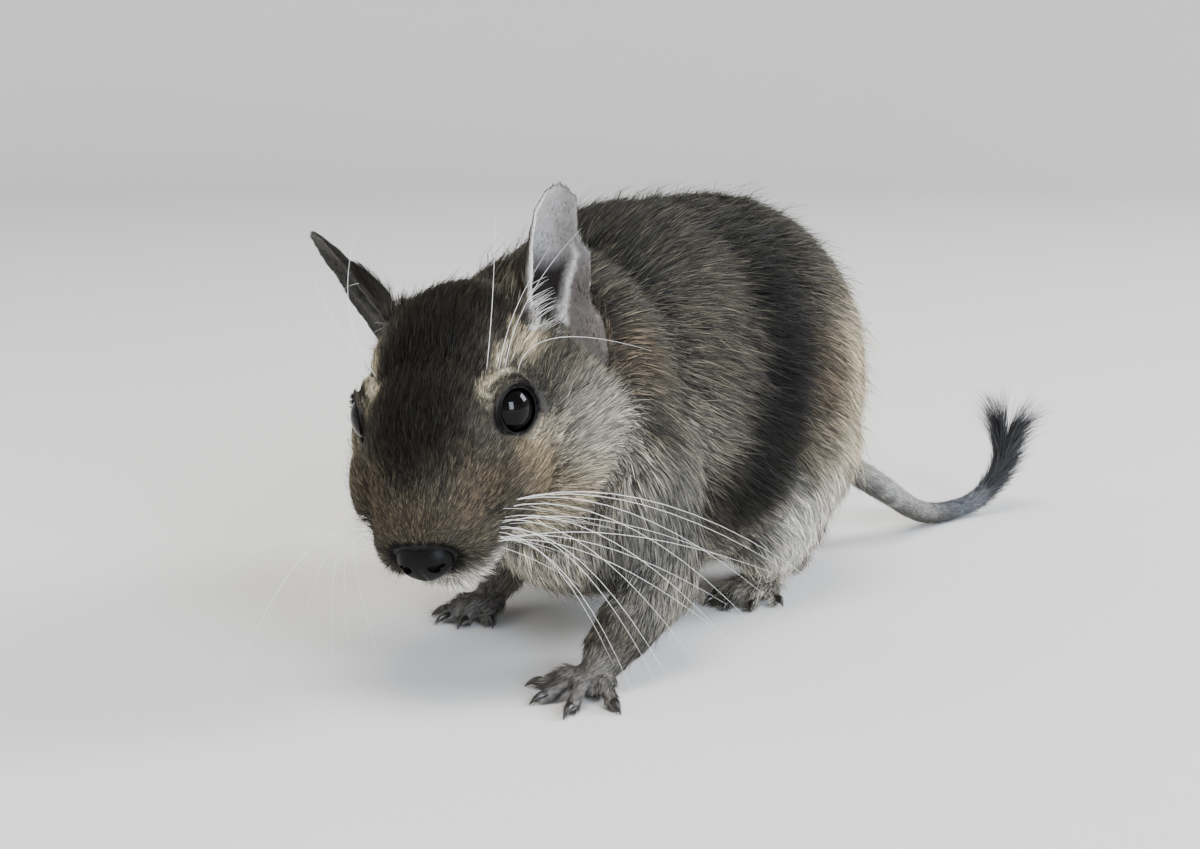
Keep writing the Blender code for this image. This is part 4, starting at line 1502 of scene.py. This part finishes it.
# The stretches of the coat: how many tufts each has for one hair's own area, and how much its
# brightness varies from one tuft to the next
STRETCHES = {
    "coat_face_left": (10.5, 1.0),
    "coat_face_right": (10.5, 1.0),
    "coat_crown_left": (10.5, 1.0),
    "coat_crown_right": (10.5, 1.0),
    "coat_nape": (10.5, 1.0),
    "coat_back": (10.5, 1.0),
    "coat_flanks": (10.5, 1.0),
    "coat_belly": (5.0, 1.0),
    "coat_haunches": (10.5, 1.0),
    "coat_forelegs": (9.5, 0.8),
    "coat_feet": (3.6, 0.55),
    "coat_tail": (4.2, 0.3),
    "coat_ears": (1.1, 0.3),
}


@dataclass
class Pelt:
    """The skin with the whole coat on it, stretch by stretch."""

    lie: Lie
    tones: Tones
    ears: EarMap
    hair: bpy.types.Material

    def build(self) -> None:
        """Makes the skin, paints it and grows the coat on it."""
        maker = Skin(self.lie, self.ears)
        skin = maker.build()
        roots = skin.copy()
        roots.data = skin.data.copy()
        bpy.context.scene.collection.objects.link(roots)
        apply_modifier(roots, "DECIMATE", ratio=0.3)
        labels = self.label(roots)
        bare = maker.face_share(places_of(roots.data), HAIR_EDGE)
        at = places_of(skin.data)
        furred = (1 - maker.face_share(at, HAIR_EDGE)) * (1 - self.ears.read(at)[0])
        # The skin under hair is darkened, partly as dark underfur and partly as painted shade
        # between the tufts
        paint(skin.data, "tone", self.tones.read(at) * (1 - UNDER_HAIR * furred)[:, None])
        settle(skin, SkinLook().build())
        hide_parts(*FLESH, "ear_left", "ear_right")
        for number, (name, (density, ticking)) in enumerate(STRETCHES.items()):
            chosen = np.nonzero(labels == name)[0]
            coat = Coat(name, density, SEED + number, ticking)
            coat.build(roots, chosen, self.lie, self.tones, bare, self.hair)
        bpy.data.objects.remove(roots, do_unlink=True)

    def label(self, roots: bpy.types.Object) -> np.ndarray:
        """Names the stretch of each triangle, with ragged borders so that no line shows.

        Args:
            roots: The surface that the hair grows from.

        Returns:
            A stretch's name for each triangle.
        """
        tree = KDTree(sum(len(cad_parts[name].data.vertices) for name in FLESH))
        names = []
        for name in FLESH:
            for place in places_of(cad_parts[name].data):
                tree.insert(FROM_FRAME @ Vector(place), len(names))
                names.append(name)
        tree.balance()
        centres = places_of(roots.data)[triangles_of(roots.data)].mean(1)
        loose = centres + np.random.default_rng(SEED).normal(size=centres.shape) * BORDER
        return np.array([self.stretch_of(names[tree.find(place)[1]], place, head, on_ear)
                         for place, head, on_ear
                         in zip(loose, on_head(loose), self.ears.read(centres)[0])])

    def stretch_of(self, node: str, place: np.ndarray, head: np.ndarray, on_ear: float) -> str:
        """Names the stretch of the coat at a place.

        Args:
            node: The nearest node of flesh.
            place: The place in the pose's axes.
            head: The same place in the head's axes.
            on_ear: How much the place belongs to an ear.

        Returns:
            The stretch's name.
        """
        if on_ear > 0.5:
            return "coat_ears"
        if node == "head":
            part = "face" if head[1] < FACE_END else "crown"
            return f"coat_{part}_{'left' if head[0] > 0 else 'right'}"
        if node == "neck":
            return "coat_nape"
        if node == "torso":
            if place[2] > BACK_LOW:
                return "coat_back"
            return "coat_flanks" if place[2] > BELLY_HIGH else "coat_belly"
        for word, name in (("foreleg", "coat_forelegs"), ("hindleg", "coat_haunches"),
                           ("foot", "coat_feet")):
            if word in node:
                return name
        return "coat_tail"


@dataclass
class Brush:
    """The tail's brush: long black hair that grows longer towards the tip and fans out there.

    start is where on the tail it begins, and spread the way that it fans out. A hair's length is
    shortest at the start, and gain is added to it by the tip. It stands off the tail by lean_span
    in degrees, with up to fan more at the tip. bands are the places along a hair where it has a
    width, with the width there as a share of the root's.
    """

    look: bpy.types.Material
    hairs: int = 5_000
    start: float = 0.70
    spread: tuple[float, float, float] = (0.82, 0.57, 0.0)
    shortest: float = 2.4
    gain: float = 8.8
    lean_span: tuple[float, float] = (4, 17)
    fan: float = 22
    half_width: float = 0.055
    bands: tuple = ((0.0, 1.0), (0.35, 1.0), (0.7, 0.75))
    triangles: tuple = ((0, 1, 3), (0, 3, 2), (2, 3, 5), (2, 5, 4), (4, 5, 6))
    along: tuple = (0.3, 0.3, 0.5, 0.5, 0.7, 0.7, 1.0)
    root_colour: str = "6a6c6f"
    tip_colour: str = "3d3e41"

    def build(self) -> None:
        """Grows the brush round the end of the tail."""
        draw = np.random.default_rng(SEED + 40)
        path = np.array([tuple(point) for point in tail_path(12)])
        t = self.start + (1 - self.start) * draw.random(self.hairs) ** 0.7
        index = np.minimum((t * (len(path) - 1)).astype(int), len(path) - 1)
        way = unit(np.gradient(path, axis=0))[index]
        grown = (t - self.start) / (1 - self.start)
        spoke = draw.normal(size=(self.hairs, 3))
        aside = np.sign(spoke @ self.spread)[:, None] * self.spread
        spoke += aside * (0.75 * grown ** 3)[:, None]
        spoke = unit(spoke - (spoke * way).sum(1, keepdims=True) * way)
        length = self.shortest + self.gain * grown ** 1.2
        length = length * draw.uniform(0.45, 1.35, self.hairs)
        lean = draw.uniform(*self.lean_span, self.hairs)
        lean = np.radians(lean + self.fan * grown ** 2 * draw.random(self.hairs))
        root = path[index] + spoke * (1.6 - 0.9 * grown)[:, None]
        across = unit(np.cross(way, spoke) + 0.5 * draw.normal(size=(self.hairs, 3)))
        places = []
        for share, wide in (*self.bands, (1.0, None)):
            bend = (lean * (0.6 + 0.9 * share))[:, None]
            spot = root + (way * np.cos(bend) + spoke * np.sin(bend)) * (length * share)[:, None]
            if wide is None:
                places.append(spot)
            else:
                half = across * self.half_width * wide
                places += [spot - half, spot + half]
        places = np.stack(places, 1).reshape(-1, 3)
        places[:, 2] = np.maximum(places[:, 2], FLOOR_CLEAR)
        corners = len(self.along)
        starts = np.arange(self.hairs)[:, None, None] * corners
        made = from_arrays("tail_hair_brush", places,
                           (starts + np.array(self.triangles)).reshape(-1, 3))
        base, tip = rgb(self.root_colour), rgb(self.tip_colour)
        tone = base + (tip - base) * ease(grown * 2.6)[:, None]
        paint(made.data, "tone", np.repeat(tone, corners, axis=0))
        paint(made.data, "along", np.tile(self.along, self.hairs))
        chance = 0.4 + 0.4 * draw.random(self.hairs)
        paint(made.data, "chance", np.repeat(chance, corners))
        settle(made, self.look)
        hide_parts("tail_brush")


# The far ends of the whiskers, in the pose's axes
LEFT_WHISKERS = (
    (40.6, -14.6, 10.5), (41.9, -25.2, 14.7), (38.4, -28.3, 11.7), (39.9, -29, 4),
    (41.1, -40.2, 5.5), (37.7, -39.2, 20.2), (40.9, -52.4, 7.1), (38.9, -54.8, 2.8),
    (36.4, -56.2, 4.2), (34.4, -58.4, 1.2), (30.5, -60, 8.5), (39.5, -43, 14.5),
    (41.5, -33, 17.5), (40.2, -46, 11.0))
RIGHT_WHISKERS = (
    (2.7, -78.8, 8.5), (-7.6, -74, 7), (-9.1, -75.7, 4), (-13.9, -78, 8.4), (-25.7, -74.6, 5.6),
    (-14.5, -92.2, 2.8), (-34, -79, 11.7), (-39.7, -84.3, 5.6), (-17.5, -67.4, 11.7),
    (-22.7, -70.7, 13.2), (-17.5, -64.7, 23.8), (-38, -66, 20), (-36, -74, 26), (-30, -62, 14))
# Long hairs over the eye and on the crown: root and far end in the head's axes
BROW_HAIRS = (
    ((10.5, 2.8, 4.6), (18.4, 17.7, 13.5)), ((11.2, 3.4, 4.2), (22.7, 20.8, 13.6)),
    ((12.5, 3.8, 2.6), (31.0, 9.5, -1.5)), ((9.2, 2.2, 6.0), (11.0, 21.0, 19.0)),
    ((-10.5, 2.8, 4.6), (-20.4, 16.7, 13.5)), ((-9.2, 2.2, 6.0), (-11.0, 21.0, 19.0)),
    ((-12.5, 3.8, 2.6), (-27.0, 12.5, 5.5)))


@dataclass
class Whiskers:
    """Stiff pale whiskers of the upper lip, long brow hairs and the hairs of the ears' hollows.

    They are clear smooth keratin, which catches the light as fine pale lines. The radii are
    those at the roots, of real whiskers; paths and radii collect the hairs.
    """

    look: PlainLook = PlainLook("whisker_keratin", "f4f1ea", "fffdf8", 3.0, 0.3, 0.6)
    root_radius: float = 0.062
    brow_radius: float = 0.06
    hollow_radius: float = 0.036
    short_share: float = 0.7
    short_count: int = 12
    steps: int = 14
    lowest: float = 0.3
    paths: list = field(default_factory=list)
    radii: list = field(default_factory=list)

    def build(self) -> None:
        """Makes all of them as one piece."""
        draw = np.random.default_rng(SEED + 60)
        for side, ends in ((1, LEFT_WHISKERS), (-1, RIGHT_WHISKERS)):
            out = HEAD_AXES @ Vector((side * 1.0, -0.1, 0.25)).normalized()
            for number, end in enumerate(ends):
                # The roots stand in rows from the back of the lip to its front
                row, place = 1 - number / len(ends), draw.uniform(-0.7, 0.7)
                root = HEAD @ Vector((side * (6.2 + 2.2 * row), -18.8 + 5.5 * row + place,
                                      -11.2 + 4.0 * row + place))
                self.add(root, out, Vector(end), self.root_radius)
            for _ in range(self.short_count):
                root = HEAD @ Vector((side * draw.uniform(6.0, 8.8), draw.uniform(-19.0, -12),
                                      draw.uniform(-12, -6.5)))
                reach = HEAD_AXES @ Vector((side * draw.uniform(0.8, 1.1),
                                            draw.uniform(-0.3, 0.5), draw.uniform(-0.6, 0.1)))
                self.add(root, reach.normalized(), root + reach * draw.uniform(9, 20),
                         self.root_radius * self.short_share)
        for root, end in BROW_HAIRS:
            out = Vector((0.4 if root[0] > 0 else -0.4, 0.2, 0.9))
            self.add(HEAD @ Vector(root), HEAD_AXES @ out.normalized(), HEAD @ Vector(end),
                     self.brow_radius)
        self.fill_hollows(draw)
        for path in self.paths:
            path[:, 2] = np.maximum(path[:, 2], self.lowest)
        settle(tubes("whiskers", self.paths, self.radii, 4), self.look.build())

    def add(self, root: Vector, out: Vector, end: Vector, radius: float) -> None:
        """Adds one hair that leaves its root outwards and bends to its end.

        Args:
            root: Where it grows.
            out: The way that it leaves.
            end: Its far end.
            radius: Its radius at the root.
        """
        reach = (end - root).length
        bend = np.array(root + out * reach * 0.42 + Vector((0, 0, 0.1 * reach)))
        share = np.linspace(0, 1, self.steps)[:, None]
        start = np.array(root - out * 0.8)
        self.paths.append((1 - share) ** 2 * start + 2 * share * (1 - share) * bend
                          + share ** 2 * np.array(end))
        self.radii.append(radius * (1 - 0.82 * share[:, 0] ** 1.3))

    def fill_hollows(self, draw: np.random.Generator) -> None:
        """Adds the pale hairs that slant across each ear's hollow from its inner edge.

        Args:
            draw: The random draw.
        """
        for side, count in ((Side.LEFT, 46), (Side.RIGHT, 3)):
            ear = Ear(side)
            rise, across, out = ear.axes()
            height, share = draw.uniform(-1.5, 9.0, count), np.zeros(count)
            for place, h in zip(ear.sheet(height, share), height):
                way = unit(rise * draw.uniform(0.4, 0.9) + across * draw.uniform(0.6, 1.1)
                           + out * draw.uniform(0.3, 0.8))
                root = HEAD @ Vector(place)
                ahead = HEAD_AXES @ Vector(way)
                length = draw.uniform(2.8, 6.0) * (1 - 0.04 * h)
                self.add(root, ahead, root + ahead * length, self.hollow_radius)


@dataclass
class NoseLeather:
    """The moist black leather of the nose with its two nostrils and the groove between them.

    Its fine pebbles give it a broad, broken sheen in the place of a sharp highlight. shift and
    tilt set it on the head; nostrils are the places and radii of the two balls whose cut makes
    one comma-shaped opening, on the left.
    """

    look: PlainLook = PlainLook("nose_leather", "060505", "110f0e", 0.35, 0.42, 0.11, 0.0, 0.6)
    radii: tuple = (4.3, 2.95, 3.6)
    shift: tuple = (0, 0.1, -0.7)
    tilt: float = -12
    groove_depth: float = 0.16
    wing_height: float = 0.10
    nostrils: tuple = (((2.0, -2.3, 0.1), (0.95, 1.5, 0.62)),
                       ((2.85, -1.7, 0.35), (0.75, 1.2, 0.36)))

    def build(self) -> None:
        """Makes the nose."""
        deselect()
        bpy.ops.mesh.primitive_uv_sphere_add(segments=72, ring_count=48, radius=1)
        made = bpy.context.object
        made.name = "nose_pad"
        x, y, z = places_of(made.data).T
        wide = 1 + 0.10 * z - 0.34 * ease(-z) ** 2
        groove = self.groove_depth * np.exp(-(x / 0.085) ** 2) * ease(0.35 - z) * ease(-y)
        wings = np.exp(-((np.abs(x) - 0.62) / 0.22) ** 2 - ((z + 0.05) / 0.5) ** 2)
        wings = self.wing_height * wings * ease(-y)
        shape = np.column_stack((x * wide, y * (1 - groove + wings), z - 0.05 * np.abs(x)))
        set_places(made.data, shape * self.radii)
        for side in Side:
            self.pierce(made, side.value)
        place = (Matrix.Translation(NOSE_CENTRE + Vector(self.shift))
                 @ Matrix.Rotation(math.radians(self.tilt), 4, "X"))
        made.data.transform(HEAD @ place)
        settle(made, self.look.build())

    def pierce(self, made: bpy.types.Object, side: int) -> None:
        """Cuts one comma-shaped nostril.

        Args:
            made: The nose.
            side: Which side, as the sign of x.
        """
        cutters = []
        for (x, y, z), radii in self.nostrils:
            deselect()
            bpy.ops.mesh.primitive_uv_sphere_add(
                segments=24, ring_count=16, radius=1, location=(x * side, y, z),
                rotation=(0, math.radians(24 * side), math.radians(30 * side)), scale=radii)
            cutters.append(apply_place(bpy.context.object))
        for cutter in cutters:
            apply_modifier(made, "BOOLEAN", object=cutter, operation="DIFFERENCE", solver="EXACT")
            bpy.data.objects.remove(cutter, do_unlink=True)


# Toe tips on the floor and the middles of the feet that they reach from
FORE_TIPS = {
    Side.LEFT: ((12.5, -56.0), (18.0, -62.3), (25.6, -64.8), (30.8, -58.5)),
    Side.RIGHT: ((-24.2, -34.0), (-20.8, -37.4), (-16.0, -37.6), (-11.8, -34.0)),
}
FORE_PALM = {Side.LEFT: (22.3, -52.6, 2.8), Side.RIGHT: (-18.2, -27.0, 2.8)}
HIND_TIPS = ((8.6, 3.6), (10.4, -1.8), (14.6, -2.6), (18.6, -0.4), (21.2, 5.4))
HIND_BALL = (14.4, 9.5, 2.9)


@dataclass
class Claws:
    """Curved black claws at the toes' ends, of worn horn with a little gloss.

    fore_share and hind_share are how far out from the foot's middle a toe's pad reaches. A claw
    leaves it at root_height, rises by arch and ends reach past the toe's tip.
    """

    look: PlainLook = PlainLook("claw_horn", "16130f", "2b2622", 0.8, 0.32, 0.5, 0.2)
    radius: float = 0.66
    tip_radius: float = 0.07
    fore_share: float = 0.72
    hind_share: float = 0.85
    root_height: float = 1.25
    tip_height: float = 0.2
    arch: float = 0.85
    reach: float = 0.7
    steps: int = 9

    def build(self) -> None:
        """Makes all claws as one piece."""
        toes = []
        for side in Side:
            toes += [(FORE_PALM[side], tip, self.fore_share) for tip in FORE_TIPS[side]]
            ball = (HIND_BALL[0] * side.value, *HIND_BALL[1:])
            toes += [(ball, (x * side.value, y), self.hind_share) for x, y in HIND_TIPS]
        paths, radii = [], []
        for middle, tip, share in toes:
            middle, tip = np.array(middle), np.array((*tip, self.tip_height))
            pad = middle + (tip - middle) * share
            ahead = unit((tip - middle) * (1, 1, 0))
            root = pad * (1, 1, 0) + (tip - pad) * (0.3, 0.3, 0) + (0, 0, self.root_height)
            last = tip + ahead * self.reach
            bend = (root + last) / 2 + np.array((0, 0, self.arch))
            along = np.linspace(0, 1, self.steps)[:, None]
            paths.append((1 - along) ** 2 * root + 2 * along * (1 - along) * bend
                         + along ** 2 * last)
            radii.append(self.radius * (1 - along[:, 0] ** 1.6) + self.tip_radius)
        settle(tubes("claws", paths, radii, 10), self.look.build())


@dataclass
class Eyes:
    """Two wet black eyeballs, whose clear film gives each one sharp highlight."""

    look: PlainLook = PlainLook("wet_eye", "020202", "040303", 2.0, 0.02, 0.16)

    def build(self) -> None:
        """Makes both eyes."""
        look = self.look.build()
        for side in Side:
            centre = HEAD @ Vector(EYE_SEAT * side.flip)
            deselect()
            bpy.ops.mesh.primitive_uv_sphere_add(segments=64, ring_count=32, radius=EYE_RADIUS,
                                                 location=centre)
            made = apply_place(bpy.context.object)
            made.name = "eyeball_" + side.word
            settle(made, look)
            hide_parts("eye_" + side.word)


# The soft lights: each one's name, place and size in metres, power in watts and colour
LIGHTS = (
    ("window", (1.0, -0.54, 0.4), (0.36, 0.6), 17.0, "dce9ff"),
    ("sheen", (0.8, 0.87, 0.7), (0.5, 0.5), 18.0, "f4f8ff"),
    ("key", (0.1, -0.2, 1.0), (0.5, 0.5), 7.0, "fffaf2"),
    ("fill", (-0.9, -0.9, 0.8), (1.0, 1.0), 3.5, "ffffff"),
)


@dataclass
class Studio:
    """The pale floor, the soft lights and the camera.

    azimuth, pitch and place are the camera's, in degrees and in the pose's millimetres, and
    sensor and lens its own; target is what the lights aim at; radius and sweep are those of the
    floor and of the curve at its edge, in metres. The floor is matt paper, which takes soft
    shadows and mirrors nothing.
    """

    azimuth: float = 35.0
    pitch: float = 10.52
    place: tuple[float, float, float] = (188.8, -289.0, 95.0)
    sensor: float = 36.0
    lens: float = 60.0
    nearest: float = 0.01
    target: tuple[float, float, float] = (0, 0, 0.04)
    world_colour: str = "eef0f2"
    world_strength: float = 0.6
    radius: float = 1.1
    sweep: float = 0.6
    sweep_steps: int = 14

    def build(self) -> None:
        """Sets up the studio."""
        self.floor()
        self.lights()
        self.camera()

    def lights(self) -> None:
        """Hangs the soft lights and sets the world's even light."""
        for name, place, size, power, colour in LIGHTS:
            light = bpy.data.lights.new(name, "AREA")
            light.shape = "RECTANGLE"
            light.energy = power
            light.size, light.size_y = size
            light.color = linear(colour)[:3]
            holder = bpy.data.objects.new(name, light)
            bpy.context.scene.collection.objects.link(holder)
            holder.location = place
            aim = Vector(place) - Vector(self.target)
            holder.rotation_euler = aim.to_track_quat("Z", "Y").to_euler()
        world = bpy.data.worlds.new("studio")
        bpy.context.scene.world = world
        world.use_nodes = True
        sky = world.node_tree.nodes["Background"]
        sky.inputs["Color"].default_value = linear(self.world_colour)
        sky.inputs["Strength"].default_value = self.world_strength

    def camera(self) -> None:
        """Sets the camera at the photograph's viewing angle."""
        camera = bpy.data.cameras.new("camera")
        camera.sensor_width = self.sensor
        camera.lens = self.lens
        camera.clip_start = self.nearest
        holder = bpy.data.objects.new("camera", camera)
        bpy.context.scene.collection.objects.link(holder)
        holder.location = TO_FRAME @ Vector(self.place)
        holder.rotation_euler = (math.radians(90 - self.pitch), 0, math.radians(self.azimuth))
        bpy.context.scene.camera = holder

    def floor(self) -> None:
        """Makes a floor that curves up to a low wall all round, so that no horizon shows."""
        deselect()
        bpy.ops.mesh.primitive_circle_add(vertices=96, radius=self.radius, fill_type="NGON",
                                          location=(0, 0, 0))
        made = bpy.context.object
        made.name = "studio_floor"
        bpy.ops.object.mode_set(mode="EDIT")
        bpy.ops.mesh.select_all(action="SELECT")
        bpy.ops.mesh.region_to_loop()
        for step in range(1, self.sweep_steps + 1):
            turn = math.pi / 2 * step / self.sweep_steps
            last = turn - math.pi / 2 / self.sweep_steps
            before = self.radius + self.sweep * math.sin(last)
            now = self.radius + self.sweep * math.sin(turn)
            rise = self.sweep * (math.cos(last) - math.cos(turn))
            bpy.ops.mesh.extrude_region_move(TRANSFORM_OT_translate={"value": (0, 0, rise)})
            bpy.ops.transform.resize(value=(now / before, now / before, 1),
                                     center_override=(0, 0, 0))
        bpy.ops.object.mode_set(mode="OBJECT")
        made.data.shade_smooth()
        made.data.materials.append(
            PlainLook("matt_paper", "eeece8", "eae8e4", 400.0, 0.9, 0.2).build())


def main() -> None:
    """Builds the pieces in order."""
    logging.basicConfig(level=logging.INFO, format="%(name)s: %(message)s")
    ears = EarMap()
    lie, tones = Lie(ears), Tones(ears)
    hair = CoatLook().build()
    Pelt(lie, tones, ears, hair).build()
    Brush(hair).build()
    Whiskers().build()
    NoseLeather().build()
    Claws().build()
    Eyes().build()
    Studio().build()


if __name__ == "__main__":
    main()
